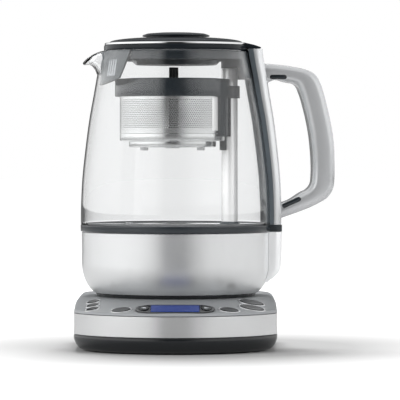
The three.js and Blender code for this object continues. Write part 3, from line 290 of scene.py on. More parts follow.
# Lid
lid_radius = 58.3
lid_thickness = 4.2
lid_hollow = 2.4
lid_skirt_radius = 53.4
lid_skirt_wall = 3
lid_plate_level = 235.2
lid_plate_wall = 2
lid_lens_radius = 36.6
lid_lens_bottom = 227.7
lid_lens_chamfer = 4
lid_lens_inside = 1
trim_inner = 54
trim_outer = 57.7
trim_height = 1.6
trim_notch_length = 40
trim_notch_start = 2
dome_radius = 53.5
dome_edge = 2.2
dome_rise = 4.3
knob_radius = 27.1
knob_edge = 1.2
knob_rise = 2.1
knob_crown = 0.1
knob_slope_share = 0.85
knob_slope_rise_share = 0.6
knob_flat_share = 0.5
tongue_half_width = 20.5
tongue_reach = 67
tongue_tip = 1
tongue_rise = 4
tongue_root = 0.8
tongue_root_reach = 3
tongue_root_share = 0.95
tongue_bend_share = 0.6
tongue_bend_rise_share = 0.45
tongue_bend_round = 4

# Basket
basket_offset = -2.8
collar_radius = 46.6
collar_bottom = 202.2
collar_top = 216.5
collar_wall = 2
collar_step = 3.4
mesh_radius = 42.7
mesh_wall = 0.5
mesh_pitch = 1.7
hole_share = 0.64
mesh_margin = 2.2
cell_start_share = 0.25
sheet_sink = 0.01
sheet_turn_step = 3
seam_half_angle = 9
seam_angle = -38
basket_rim_bottom = 166.5
basket_rim_top = 172.2
basket_rim_wall = 1.2
cap_radius = 35.2
cap_bottom = 161.3
cap_wall = 1.4
cap_tab_drop = 2.6
cap_tab_offset = 23
cap_tab_radius = 3.2
cap_tab_root = 0.7
cap_round = 1.4
hub_radius = 6
hub_drop = 0.8
hub_root = 0.5
stem_radius = 3.8
stem_top = 225.9
stem_offset = 0.9
sleeve_gap = 0.35
sleeve_wall = 1.4
sleeve_bottom = 201
sleeve_top = 211
shield_wall = 2.4
shield_half_angle = 37
shield_bottom = 170
shield_tip = 159
trough_depth = 60
basket_lid_thickness = 3.6
basket_lid_edge = 1
basket_lid_share = 0.85

# Floor and light
floor_half = 12
floor_tone = 0.33
# The floor's glow fades out near the part, which paints the floor there darker (painted shade).
glow_start = 0.12
glow_end = 0.36
glow_least = 0.0
room_light = 0.44
glow_most = 1 - floor_tone * room_light
front_stops = [
    (0.0, 1.6), (0.14, 1.45), (0.28, 1.1), (0.39, 0.04), (0.59, 0.04), (0.7, 0.6), (0.82, 1.05), (1.0, 1.1),
]
back_stops = [
    (0.0, 1.5), (0.14, 1.15), (0.26, 0.9), (0.36, 0.12), (0.62, 0.12), (0.72, 0.8), (1.0, 1.1),
]
side_blend = 3
ceiling_start = 0.36
ceiling_end = 0.7
ceiling_level = 0.75
lamps = {
    "lamp_left": ((-1.2, -1.0, 0.6), (0.9, 0.7), 27),
    "lamp_right": ((1.2, -1.0, 0.6), (0.9, 0.7), 20),
    "lamp_top": ((0, 0.9, 1.4), (0.8, 0.8), 46),
}
lamp_aim = (0, 0, 0.12)

# Places that follow from the sizes
front_centre = stand_front_radius - stand_front_reach
band_bottom = pan_top + gap
band_top = band_bottom + band_height
deck_bottom = band_top + gap
deck_front = deck_bottom + deck_front_edge
deck_top = deck_front + deck_rise
deck_slope = deck_rise / deck_ramp_run
kettle_bottom = deck_top + gap
jug_band_bottom = bowl_top + gap
jug_band_top = jug_band_bottom + jug_band_height
glass_bottom = jug_band_top + gap
shelf_top = jug_band_bottom + shelf_rise
glass_foot_bottom = shelf_top + gap
glass_foot_radius = band_radius - jug_band_wall - glass_seat_gap
seal_outer = glass_foot_radius - glass_wall - glass_seat_gap
plate_radius = seal_outer - seal_thickness - gap
plate_bottom = shelf_top + gap
plate_top = plate_bottom + plate_thickness
spine_bottom = jug_band_top + gap
spine_top = glass_top + spine_top_height
collar_top_level = glass_top - gap
lid_bottom = glass_top + gap
lid_top = lid_bottom + lid_thickness
dome_bottom = lid_top + gap
dome_top = dome_bottom + dome_edge + dome_rise
knob_bottom = dome_top + gap
sleeve_offset = column_offset - basket_offset


def middle(node):
    low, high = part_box(node)
    return (low + high) / 2


kettle_axis = middle("lid_knob")
column_axis = middle("column")
kettle_turn = math.atan2(column_axis.y - kettle_axis.y, column_axis.x - kettle_axis.x)
stand_place = Matrix.Translation((kettle_axis.x, kettle_axis.y, 0)) @ Matrix.Scale(mm, 4)
kettle_place = stand_place @ Matrix.Rotation(kettle_turn, 4, "Z")
basket_place = kettle_place @ Matrix.Translation((basket_offset, 0, 0))
column_place = kettle_place @ Matrix.Translation((column_offset, 0, 0))


def add_camera():
    data = bpy.data.cameras.new("camera")
    data.lens = camera_lens
    data.sensor_width = sensor_width
    camera = bpy.data.objects.new("camera", data)
    camera.location = camera_place
    camera.rotation_euler = (math.pi / 2 - math.radians(camera_pitch), 0, 0)
    bpy.context.scene.collection.objects.link(camera)
    bpy.context.scene.camera = camera


add_camera()

# Materials

mix_first = 6
mix_second = 7
mix_result = 2
brush_turn = 0.25
metal_clouds = (22, 22, 22)
metal_shades = (0.94, 1.03)
metal_bump = 0.25
plastic_clouds = (35, 35, 35)
plastic_shades = (0.85, 1.15)
plastic_bump = 0.2
plastic_speckle_spread = 0.08
plastic_cloud_spread = 0.05
plastic_middle = 0.06
coat_roughness = 0.04
glass_bend = 1.46
# Painted shade: the glass's colour darkens where it is seen edge on.
glass_edge_shade_stops = [(0.0, 0.0), (0.83, 0.03), (0.92, 0.6), (0.97, 1.0)]
glass_face_tint = (0.935, 0.94, 0.942, 1)
glass_edge_painted_shade = (0.4, 0.45, 0.49, 1)
glass_clear = (0.98, 0.98, 0.98, 1)
screen_clouds = (30, 60, 60)
screen_dark = (0.008, 0.022, 0.13, 1)
screen_pale = (0.014, 0.037, 0.19, 1)
round_grain = (12, 12, 2600)
deck_grain = (1200, 30, 30)
even_grain = (400, 400, 400)
ring_grain = (200, 200, 200)
brass_grain = (300, 300, 900)


def grey(level):
    return (level, level, level, 1)


class Link:
    """A node's output, on which sums can be written."""

    def __init__(self, nodes, socket):
        self.nodes = nodes
        self.socket = socket

    def sum(self, operation, first, second):
        return self.nodes.node("ShaderNodeMath", {"operation": operation}, {0: first, 1: second})

    def __add__(self, other):
        return self.sum("ADD", self, other)

    def __radd__(self, other):
        return self.sum("ADD", other, self)

    def __sub__(self, other):
        return self.sum("SUBTRACT", self, other)

    def __rsub__(self, other):
        return self.sum("SUBTRACT", other, self)

    def __mul__(self, other):
        return self.sum("MULTIPLY", self, other)

    def __rmul__(self, other):
        return self.sum("MULTIPLY", other, self)

    def __gt__(self, other):
        return self.sum("GREATER_THAN", self, other)


class Nodes:
    """A node tree, to which each kind of node is added in the same way."""

    def __init__(self, tree):
        self.tree = tree

    def node(self, kind, settings=None, sockets=None, output=0):
        made = self.tree.nodes.new(kind)
        for name, value in (settings or {}).items():
            if name == "stops":
                self.set_stops(made.color_ramp, value)
            else:
                setattr(made, name, value)
        for name, value in (sockets or {}).items():
            self.join(value, made.inputs[name])
        return Link(self, made.outputs[output])

    def set_stops(self, ramp, stops):
        while len(ramp.elements) < len(stops):
            ramp.elements.new(1)
        for element, (place, level) in zip(ramp.elements, stops):
            element.position = place
            element.color = grey(level)

    def join(self, value, socket):
        if isinstance(value, Link):
            self.tree.links.new(value.socket, socket)
        else:
            socket.default_value = value

    def mix(self, share, first, second):
        sockets = {0: share, mix_first: first, mix_second: second}
        return self.node("ShaderNodeMix", {"data_type": "RGBA"}, sockets, mix_result)

    def light_path(self, kind):
        return self.node("ShaderNodeLightPath", output=kind)

    def reflected(self):
        return self.light_path("Glossy Depth") > 0.5

    def scattered(self):
        return self.light_path("Diffuse Depth") > 0.5


class Finish(Nodes):
    """A material whose fixed values are set on the shader's own sockets."""

    def __init__(self, name, **fixed):
        self.material = bpy.data.materials.new(name)
        self.material.use_nodes = True
        super().__init__(self.material.node_tree)
        self.shader = self.tree.nodes["Principled BSDF"]
        for socket, value in fixed.items():
            self.join(value, self.shader.inputs[socket.replace("_", " ")])

    def feed(self, socket, value):
        self.join(value, self.shader.inputs[socket])

    def noise(self, stretch, detail=3):
        place = self.node("ShaderNodeTexCoord", output="Object")
        vector = self.node("ShaderNodeVectorMath", {"operation": "MULTIPLY"}, {0: place, 1: stretch})
        return self.node("ShaderNodeTexNoise", None, {"Vector": vector, "Scale": 1, "Detail": detail})

    def bump(self, height, strength, depth):
        sockets = {"Strength": strength, "Distance": depth, "Height": height}
        self.feed("Normal", self.node("ShaderNodeBump", None, sockets))


def shade(colour, share):
    return tuple(channel * share for channel in colour) + (1,)


def metal(name, colour, roughness, grain, spread=0.08, depth=0.00001, metallic=1.0, brushed=0.0):
    finish = Finish(name, Metallic=metallic, Anisotropic=brushed, Anisotropic_Rotation=brush_turn)
    lines = finish.noise(grain)
    clouds = finish.noise(metal_clouds, 2)
    finish.feed("Base Color", finish.mix(clouds, *(shade(colour, share) for share in metal_shades)))
    finish.feed("Roughness", lines * spread + clouds * spread + (roughness - spread))
    finish.bump(lines, metal_bump, depth)
    return finish.material


def plastic(name, colour, roughness, grain=900, coat=0.0, depth=0.00002, gloss=0.5):
    finish = Finish(name, Coat_Weight=coat, Coat_Roughness=coat_roughness, Specular_IOR_Level=gloss)
    clouds = finish.noise(plastic_clouds, 2)
    speckle = finish.noise((grain, grain, grain), 2)
    finish.feed("Base Color", finish.mix(clouds, *(shade(colour, share) for share in plastic_shades)))
    change = speckle * plastic_speckle_spread + clouds * plastic_cloud_spread
    finish.feed("Roughness", change + (roughness - plastic_middle))
    finish.bump(speckle, plastic_bump, depth)
    return finish.material


def clear_glass():
    """Glass with a painted shade line, a darker colour where it is seen edge on. Shadow rays pass through
    it.
    """
    finish = Finish("clear_glass", Transmission_Weight=1, IOR=glass_bend, Roughness=0.0)
    # Painted shade: a darker colour where the glass is seen edge on, over the glass's own tint.
    aside = finish.node("ShaderNodeLayerWeight", None, {"Blend": 0.5}, "Facing")
    edge = finish.node("ShaderNodeValToRGB", {"stops": glass_edge_shade_stops}, {0: aside})
    tint_and_edge_shade = finish.mix(edge, glass_face_tint, glass_edge_painted_shade)
    finish.feed("Base Color", finish.mix(finish.scattered(), tint_and_edge_shade, glass_clear))
    shadow = finish.light_path("Is Shadow Ray")
    body = Link(finish, finish.shader.outputs[0])
    clear = finish.node("ShaderNodeBsdfTransparent", None, {"Color": glass_clear})
    mixed = finish.node("ShaderNodeMixShader", None, {0: shadow, 1: body, 2: clear})
    finish.join(mixed, finish.tree.nodes["Material Output"].inputs["Surface"])
    return finish.material


def screen_face():
    finish = Finish("screen_blue", Roughness=0.22, Specular_IOR_Level=0.15, Emission_Strength=0.2)
    blue = finish.mix(finish.noise(screen_clouds, 2), screen_dark, screen_pale)
    finish.feed("Base Color", blue)
    finish.feed("Emission Color", blue)
    return finish.material


finishes = {
    "brushed": metal("brushed_steel", (0.76, 0.765, 0.77), 0.22, round_grain, 0.03, 0.000003, brushed=0.5),
    "bowl": metal("bowl_steel", (0.86, 0.87, 0.875), 0.36, round_grain, 0.05, brushed=0.85),
    "strip": metal("strip_steel", (0.7, 0.71, 0.72), 0.16, even_grain, 0.03, metallic=0.65),
    "satin": metal("satin_steel", (0.95, 0.96, 0.97), 0.32, even_grain, 0.05, metallic=0.55),
    "handle": metal("handle_steel", (0.55, 0.56, 0.57), 0.2, even_grain, 0.03, metallic=0.65),
    "deck": metal("deck_silver", (0.28, 0.29, 0.3), 0.42, deck_grain, 0.08, metallic=0.4),
    "basket": metal("basket_steel", (0.9, 0.91, 0.91), 0.18, even_grain, 0.04, metallic=0.95),
    "column": metal("column_steel", (0.96, 0.96, 0.96), 0.16, even_grain, 0.03, metallic=0.35),
    # Painted shade: a dark steel for the sheet's inner face, standing for the shade inside the basket.
    "basket_inside_painted_shade": metal("basket_inside_painted_shade", (0.24, 0.25, 0.26), 0.4, even_grain, 0.04),
    "chrome": metal("chrome_ring", (0.82, 0.83, 0.84), 0.1, ring_grain, 0.03),
    "brass": metal("brass", (0.62, 0.45, 0.18), 0.3, brass_grain),
    "black": plastic("gloss_black", (0.005, 0.006, 0.007), 0.18, 1400, gloss=0.55),
    "lid": plastic("lid_black", (0.007, 0.009, 0.011), 0.12, 1400, gloss=0.2),
    "button": plastic("button_black", (0.006, 0.007, 0.008), 0.2, 1600, gloss=0.2),
    "slate": plastic("slate_plastic", (0.009, 0.0125, 0.0155), 0.24, coat=0.5, depth=0.000004),
    "core": plastic("core_slate", (0.055, 0.066, 0.075), 0.3),
    "slate_pale": plastic("slate_pale", (0.034, 0.041, 0.047), 0.24, coat=0.6),
    "grey": plastic("grey_plastic", (0.07, 0.08, 0.086), 0.3),
    "mark": plastic("mark_grey", (0.4, 0.42, 0.44), 0.4),
    "rubber": plastic("rubber", (0.02, 0.02, 0.021), 0.72, 700, 0.0, 0.00005),
    "silicone": plastic("grey_silicone", (0.14, 0.145, 0.15), 0.55, 500),
    "board": plastic("circuit_board", (0.03, 0.14, 0.06), 0.45),
    "glass": clear_glass(),
    "screen": screen_face(),
}

# Mesh helpers


def rounded(corners, loop=True):
    """Points of an outline whose corners are (x, y) or (x, y, radius)."""
    points = []
    count = len(corners)
    for index, corner in enumerate(corners):
        here = Vector(corner[:2])
        if len(corner) < 3 or (not loop and index in (0, count - 1)):
            points.append(tuple(here))
            continue
        before = Vector(corners[index - 1][:2]) - here
        after = Vector(corners[(index + 1) % count][:2]) - here
        reach = min(corner[2] / math.tan(before.angle(after) / 2), before.length / 2, after.length / 2)
        start = here + before.normalized() * reach
        end = here + after.normalized() * reach
        for step in range(round_steps + 1):
            share = step / round_steps
            point = start * (1 - share) ** 2 + here * 2 * share * (1 - share) + end * share ** 2
            points.append(tuple(point))
    return points


def skin(rings, loop=False, wrap=True, caps=True):
    """Faces through rings of equal counts. A loop joins the last ring to the first."""
    count = len(rings[0])
    faces = []
    for row in range(len(rings) if loop else len(rings) - 1):
        low = row * count
        high = ((row + 1) % len(rings)) * count
        for index in range(count if wrap else count - 1):
            after = (index + 1) % count
            faces.append((low + index, low + after, high + after, high + index))
    if caps and not loop:
        last = (len(rings) - 1) * count
        faces.append(tuple(reversed(range(count))))
        faces.append(tuple(range(last, last + count)))
    return [point for ring in rings for point in ring], faces


def circle(radius, level, steps=turn_steps, squeeze=1):
    angles = [math.tau * step / steps for step in range(steps)]
    return [(radius * math.cos(angle), radius * squeeze * math.sin(angle), level) for angle in angles]


def turned(profile, steps=turn_steps, squeeze=1):
    on_axis = profile[0][0] == 0 and profile[-1][0] == 0
    rings = [circle(radius, level, steps, squeeze) for radius, level in profile]
    return skin(rings, not on_axis, caps=False)


def lathe(profile, steps=turn_steps, squeeze=1):
    """A turned form with rounded corners. A profile that starts on the axis isn't closed."""
    return turned(rounded(profile, profile[0][0] != 0), steps, squeeze)


def disc(radius, bottom, top, edge=0.0, steps=small_steps, squeeze=1):
    profile = [(0, bottom), (radius, bottom, edge), (radius, top, edge), (0, top)]
    return lathe(profile if edge else [corner[:2] for corner in profile], steps, squeeze)


def arc_wall(from_angle, to_angle, steps, section):
    """A section of (radius, level) points carried round the axis."""
    rings = []
    for step in range(steps + 1):
        angle = math.radians(from_angle + (to_angle - from_angle) * step / steps)
        along, across = math.cos(angle), math.sin(angle)
        rings.append([(radius * along, radius * across, level) for radius, level in section])
    return skin(rings)


def moved(form, matrix):
    points, faces = form
    return [tuple(matrix @ Vector(point)) for point in points], faces


def shifted(form, x):
    return moved(form, Matrix.Translation((x, 0, 0)))


def together(*forms):
    points, faces = [], []
    for more_points, more_faces in forms:
        start = len(points)
        points.extend(more_points)
        faces.extend(tuple(index + start for index in face) for face in more_faces)
    return points, faces


def raw_object(name, form, place):
    mesh = bpy.data.meshes.new(name)
    points, faces = form
    mesh.from_pydata([tuple(place @ Vector(point)) for point in points], [], faces)
    shape = bmesh.new()
    shape.from_mesh(mesh)
    bmesh.ops.remove_doubles(shape, verts=shape.verts, dist=tiny * mm)
    bmesh.ops.dissolve_degenerate(shape, edges=shape.edges, dist=tiny * mm)
    bmesh.ops.recalc_face_normals(shape, faces=shape.faces)
    shape.to_mesh(mesh)
    shape.free()
    thing = bpy.data.objects.new(name, mesh)
    bpy.context.scene.collection.objects.link(thing)
    return thing


def carve(thing, cutters, operation="DIFFERENCE"):
    for cutter in cutters:
        modifier = thing.modifiers.new("cut", "BOOLEAN")
        modifier.operation = operation
        modifier.solver = "EXACT"
        modifier.object = cutter
    graph = bpy.context.evaluated_depsgraph_get()
    graph.update()
    mesh = bpy.data.meshes.new_from_object(thing.evaluated_get(graph))
    thing.modifiers.clear()
    thing.data = mesh
    for cutter in cutters:
        bpy.data.objects.remove(cutter)


def show(thing, body, slot, finish, *nodes):
    thing.data.materials.clear()
    thing.data.materials.append(finishes[finish])
    thing.data.shade_smooth()
    thing.data.set_sharp_from_angle(angle=sharp_angle)
    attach(thing, body)
    if nodes:
        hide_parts(*nodes)


def piece(name, form, place, body, slot, finish, *nodes, cutters=()):
    thing = raw_object(name, form, place)
    if cutters:
        carve(thing, [raw_object("cutter", shape, where) for shape, where in cutters])
    show(thing, body, slot, finish, *nodes)


def dress(finish, *nodes):
    """A new material for CAD nodes that stay."""
    for node in nodes:
        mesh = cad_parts[node].data
        mesh.materials.clear()
        mesh.materials.append(finishes[finish])


def table(rows, place):
    """The value at a place, on straight lines between rows of (place, value)."""
    for low, high in zip(rows, rows[1:]):
        if place <= high[0]:
            share = (place - low[0]) / (high[0] - low[0])
            return low[1] + (high[1] - low[1]) * max(share, 0)
    return rows[-1][1]


def spline(points, steps):
    """Points of a smooth curve through the given ones."""
    made = []
    for index in range(len(points) - 1):
        before = Vector(points[max(index - 1, 0)])
        start, end = Vector(points[index]), Vector(points[index + 1])
        after = Vector(points[min(index + 2, len(points) - 1)])
        for step in range(steps):
            t = step / steps
            made.append(tuple(0.5 * (
                2 * start + (end - before) * t + (2 * before - 5 * start + 4 * end - after) * t ** 2
                + (3 * start - before - 3 * end + after) * t ** 3
            )))
    made.append(tuple(points[-1]))
    return made


# Stand


def arc_points(centre, radius, start, end, steps):
    made = []
    for step in range(steps + 1):
        angle = start + (end - start) * step / steps
        nx, ny = math.cos(angle), math.sin(angle)
        made.append((centre[0] + radius * nx, centre[1] + radius * ny, nx, ny))
    return made


def stand_outline():
    corner_x = stand_half_width - stand_front_corner
    drop = math.sqrt((stand_front_radius - stand_front_corner) ** 2 - corner_x ** 2)
    corner_y = front_centre - drop
    meeting = math.atan2(corner_y - front_centre, corner_x)
    back = (stand_half_width - stand_back_corner, stand_back_reach - stand_back_corner)
    right = arc_points((0, front_centre), stand_front_radius, -math.pi / 2, meeting, front_steps)
    right += arc_points((corner_x, corner_y), stand_front_corner, meeting, 0, corner_steps)[1:]
    for step in range(1, side_steps):
        right.append((stand_half_width, corner_y + (back[1] - corner_y) * step / side_steps, 1, 0))
    right += arc_points(back, stand_back_corner, 0, math.pi / 2, back_steps)
    left = [(-x, y, -nx, ny) for x, y, nx, ny in reversed(right[1:])]
    return right + left


outline = stand_outline()


def stand_ring(inset, level):
    return [(x - nx * inset, y - ny * inset, level) for x, y, nx, ny in outline]


def front_line(x):
    return front_centre - math.sqrt(stand_front_radius ** 2 - x ** 2)


def deck_level(x, y):
    ramp = deck_front + deck_slope * (y - front_line(x))
    ease = max(deck_blend - abs(deck_top - ramp), 0) / deck_blend
    return min(deck_top, ramp) - ease ** 2 * deck_blend / 4


def panel_place(x, set_back):
    """A frame on the deck, square to its slope, at a set back from the stand's front edge."""
    y = front_line(x) + set_back
    bow = x / math.sqrt(stand_front_radius ** 2 - x ** 2)
    normal = Vector((deck_slope * bow, -deck_slope, 1)).normalized()
    turn = Vector((0, 0, 1)).rotation_difference(normal).to_matrix().to_4x4()
    return stand_place @ Matrix.Translation((x, y, deck_level(x, y))) @ turn


def add_pan():
    rise = pan_curve_top - pan_bottom
    rings = [stand_ring(pan_inset * inset, pan_bottom + rise * height) for inset, height in pan_shares]
    lip = band_wall + gap
    rings += [
        stand_ring(0, pan_top - band_edge), stand_ring(band_edge / 2, pan_top), stand_ring(lip, pan_top),
        stand_ring(lip, pan_top + lip_height), stand_ring(lip + lip_wall, pan_top + lip_height),
        stand_ring(lip + lip_wall, pan_curve_top), stand_ring(pan_inset + pan_lip, pan_bottom + pan_lip),
    ]
    piece("pan", skin(rings), stand_place, "stand", "black_plastic", "black", "stand_pan")


def add_band():
    rings = [
        stand_ring(band_edge, band_bottom), stand_ring(0, band_bottom + band_edge),
        stand_ring(0, band_top - band_edge), stand_ring(band_edge, band_top),
        stand_ring(band_wall, band_top), stand_ring(band_wall, band_bottom),
    ]
    piece("band", skin(rings, True), stand_place, "stand", "brushed_steel", "brushed", "stand_band")


def deck_edge(point, share):
    """A point of the deck's rounded edge: share 0 is on the side and share 1 on the top."""
    x, y, nx, ny = point
    full = deck_level(x - nx * deck_back_round, y - ny * deck_back_round)
    part = min(max((full - deck_front) / deck_rise, 0), 1)
    turn = deck_front_round + (deck_back_round - deck_front_round) * part
    angle = share * math.pi / 2
    inset = turn * (1 - math.cos(angle))
    level = deck_level(x - nx * turn, y - ny * turn)
    return (x - nx * inset, y - ny * inset, level - turn * (1 - math.sin(angle)))


def deck_form():
    edge = [deck_edge(point, 1) for point in outline]
    hole_radius = connector_radius - deck_hole_inset
    hole = [tuple(Vector(point[:2]).normalized() * hole_radius) for point in outline]

    def ring(share, sink):
        made = []
        for (hx, hy), (ex, ey, _) in zip(hole, edge):
            x, y = hx + (ex - hx) * share, hy + (ey - hy) * share
            made.append((x, y, deck_level(x, y) - sink))
        return made

    rings = [ring(step / deck_ring_count, 0) for step in range(deck_ring_count)]
    for step in range(deck_edge_steps, -1, -1):
        rings.append([deck_edge(point, step / deck_edge_steps) for point in outline])
    lip = band_wall + gap
    rings += [
        stand_ring(0, deck_bottom + band_edge / 2), stand_ring(band_edge / 2, deck_bottom),
        stand_ring(lip, deck_bottom), stand_ring(lip, deck_bottom - lip_height),
        stand_ring(lip + lip_wall, deck_bottom - lip_height),
    ]
    rings += [ring(step / deck_under_steps, deck_wall) for step in range(deck_under_steps - 1, -1, -1)]
    return skin(rings, True)


def stadium(length, depth, bottom, top, edge):
    """An oblong with round ends and an eased top edge."""
    rings = []
    bevel = edge * bevel_share
    for inset, level in ((0, bottom), (0, top - edge), (bevel, top - bevel), (edge, top)):
        radius = depth / 2 - inset
        straight = (length - depth) / 2
        ring = []
        for side, start in ((1, -math.pi / 2), (-1, math.pi / 2)):
            for step in range(small_steps // 2 + 1):
                angle = start + math.pi * step / (small_steps // 2)
                ring.append((side * straight + radius * math.cos(angle), radius * math.sin(angle), level))
        rings.append(ring)
    return skin(rings)


def slab(length, depth, bottom, top, edge=0.0):
    rings = []
    for inset, level in ((0, bottom), (0, top - edge), (edge, top)):
        x, y = length / 2 - inset, depth / 2 - inset
        rings.append([(x, -y, level), (x, y, level), (-x, y, level), (-x, -y, level)])
    return skin(rings if edge else [rings[0], rings[2]])


def button_form(half_width, half_depth, proud):
    profile = [
        (0, button_proud - button_height), (half_width, button_proud - button_height),
        (half_width, proud, button_edge),
        (half_width * button_flat_share, proud - button_crown, light_round), (0, proud - button_dish),
    ]
    return lathe(profile, small_steps, half_depth / half_width)


def button_ring(half_width, half_depth):
    inner = half_width + button_gap / 2
    outer = inner + ring_width
    profile = [
        (inner, -ring_sink), (outer, -ring_sink), (outer, ring_rise * ring_outer_share, crisp_round),
        ((inner + outer) / 2, ring_rise, small_round), (inner, ring_rise * ring_inner_share, hair_round),
    ]
    return lathe(profile, tube_steps, half_depth / half_width)


def hole_form(half_width, half_depth):
    grown = half_width + button_gap
    return disc(grown, -hole_depth, overrun, 0, tube_steps, (half_depth + button_gap) / grown)


def add_screen():
    place = panel_place(0, screen_set_back)
    top = screen_proud
    floor = top - screen_floor_depth
    window = slab(window_length + 2 * gap, window_depth + 2 * gap, floor - gap, top + overrun)
    windows = [(window, place)]
    for side in (-1, 1):
        shift = place @ Matrix.Translation((side * arrow_offset, 0, 0))
        windows.append((hole_form(arrow_half_width, arrow_half_depth), shift))
    bezel = stadium(screen_length, screen_depth, top - screen_thickness, top, bezel_round)
    piece("screen_bezel", bezel, place, "stand", "black_plastic", "black", "screen_housing",
          cutters=windows)
    face = slab(window_length, window_depth, floor, top + screen_rise, hair_round)
    piece("screen_face", face, place, "stand", "screen_blue", "screen", "screen")
    for side, word in ((-1, "left"), (1, "right")):
        shift = place @ Matrix.Translation((side * arrow_offset, 0, 0))
        body = f"button_arrow_{word}"
        proud = button_proud + screen_proud
        piece(f"arrow_cap_{word}", button_form(arrow_half_width, arrow_half_depth, proud), shift,
              body, "button_black", "button", body)
        half = arrow_mark_length / 2
        tip = [(side * half, 0), (-side * half, half), (-side * half, -half)]
        mark = skin([at_level(tip, level) for level in (proud - button_dish, proud + arrow_mark_height)])
        piece(f"arrow_mark_{word}", mark, shift, body, "button_black", "mark")


def add_panel():
    for body, (x, set_back, half_width, half_depth) in panel_buttons.items():
        place = panel_place(x, set_back)
        piece(f"{body}_cap", button_form(half_width, half_depth, button_proud), place, body,
              "button_black", "button", body)
        piece(f"{body}_ring", button_ring(half_width, half_depth), place, "stand",
              "polished_steel", "chrome")


def add_deck():
    cutters = [
        (hole_form(half_width, half_depth), panel_place(x, set_back))
        for x, set_back, half_width, half_depth in panel_buttons.values()
    ]
    bezel = stadium(screen_length + 2 * gap, screen_depth + 2 * gap, -hole_depth, overrun, cut_edge)
    cutters.append((bezel, panel_place(0, screen_set_back)))
    cutters.append((disc(connector_radius + gap, deck_front, deck_top + overrun), stand_place))
    piece("deck", deck_form(), stand_place, "stand", "deck_silver", "deck", "stand_deck", cutters=cutters)


def add_connector():
    top = deck_top + connector_rise
    floor = top - connector_bore_depth
    root = deck_top - connector_root
    profile = [
        (0, floor), (connector_bore, floor), (connector_bore, top, small_round),
        (connector_radius, top, firm_round), (connector_radius, root), (0, root),
    ]
    piece("connector", lathe(profile), stand_place, "stand", "black_plastic", "black", "stand_connector")


# Kettle


def bowl_profile(inset):
    reach, rise = bowl_corner_reach - inset, bowl_corner_rise - inset
    centre = (bowl_radius - bowl_corner_reach, kettle_bottom + bowl_corner_rise)
    start = math.asin(bowl_bottom_share)
    points = []
    for step in range(bowl_corner_steps + 1):
        angle = start * (1 - step / bowl_corner_steps)
        points.append((centre[0] + reach * math.cos(angle), centre[1] - rise * math.sin(angle)))
    side = bowl_radius - inset
    return points + [(side, bowl_top - bowl_lip_height), (side - bowl_lip_width, bowl_top)]


def add_bowl():
    outer = bowl_profile(0)
    inner = bowl_profile(bowl_wall)[:-1]
    inner[0] = (inner[0][0], outer[0][1])
    inner[-1] = (inner[-1][0], bowl_top)
    form = turned(outer + inner[::-1])
    piece("bowl", form, kettle_place, "kettle", "brushed_steel", "bowl", "bowl_shell")
    dress("black", "bottom_cover", "connector_socket")


def strip_outside(edge, reach, half_width, corner):
    """The outline of the steel strip: open towards the kettle, with two rounded outer corners."""
    points = [(edge, -half_width)]
    for side, start in ((-1, -math.pi / 2), (1, 0)):
        for step in range(corner_steps + 1):
            angle = start + math.pi / 2 * step / corner_steps
            points.append((
                reach - corner + corner * math.cos(angle),
                side * (half_width - corner) + corner * math.sin(angle),
            ))
    return points + [(edge, half_width)]


def at_level(points, level):
    return [(x, y, level) for x, y in points]


def add_jug_band():
    inner = band_radius - jug_band_wall
    bowl_inner = bowl_radius - bowl_wall - gap
    shelf_bottom = shelf_top - shelf_thickness
    profile = [
        (band_radius - jug_band_taper, jug_band_bottom, plain_round),
        (band_radius, jug_band_top, plain_round), (inner, jug_band_top), (inner, shelf_top),
        (shelf_inner, shelf_top), (shelf_inner, shelf_bottom),
        (bowl_inner, shelf_bottom), (bowl_inner, jug_band_bottom),
    ]
    reach = bowl_radius + bracket_reach + gap
    bulge = strip_outside(bowl_radius - bowl_corner_reach, reach, spine_half_width + gap, spine_corner)
    step = skin([at_level(bulge, level) for level in (jug_band_bottom, jug_band_top)])
    thing = raw_object("seam_band", lathe(profile), kettle_place)
    knee = raw_object("knee", step, kettle_place)
    radius = inner + jug_band_wall / 2
    cutter = disc(radius, jug_band_bottom - hole_depth, jug_band_top + hole_depth, 0, turn_steps)
    carve(knee, [raw_object("cutter", cutter, kettle_place)])
    carve(thing, [knee], "UNION")
    show(thing, "kettle", "black_plastic", "slate", "jug_band")


glass_rows = [
    (glass_bottom + (glass_top - glass_bottom) * height,
     glass_base_radius + (glass_top_radius - glass_base_radius) * inset)
    for height, inset in glass_shares
]
plain_glass = spline(glass_rows, glass_curve_steps)


def glass_radius(level):
    return table(plain_glass, level)


def glass_inside(level):
    return glass_radius(level) - glass_wall


def glass_angles():
    """Angles round the jug, each with the spout's share there."""
    made = []
    for step in range(glass_angle_steps):
        angle = full_turn * step / glass_angle_steps
        aside = abs(angle - half_turn)
        share = (1 + math.cos(math.pi * aside / spout_half_angle)) / 2 if aside < spout_half_angle else 0
        made.append((math.radians(angle), share))
    return made


def glass_ring(radius, level, spout=None):
    """A ring of the jug. A spout of (out, down) shares draws its front part out and down."""
    out, down = spout or (0, 0)
    spout_radius = glass_top_radius + spout_reach * out if spout else radius
    spout_level = glass_top - spout_drop * down if spout else level
    ring = []
    for angle, share in glass_angles():
        r = radius + (spout_radius - radius) * share
        z = level + (spout_level - level) * share ** spout_lip_power
        ring.append((r * math.cos(angle), r * math.sin(angle), z))
    return ring


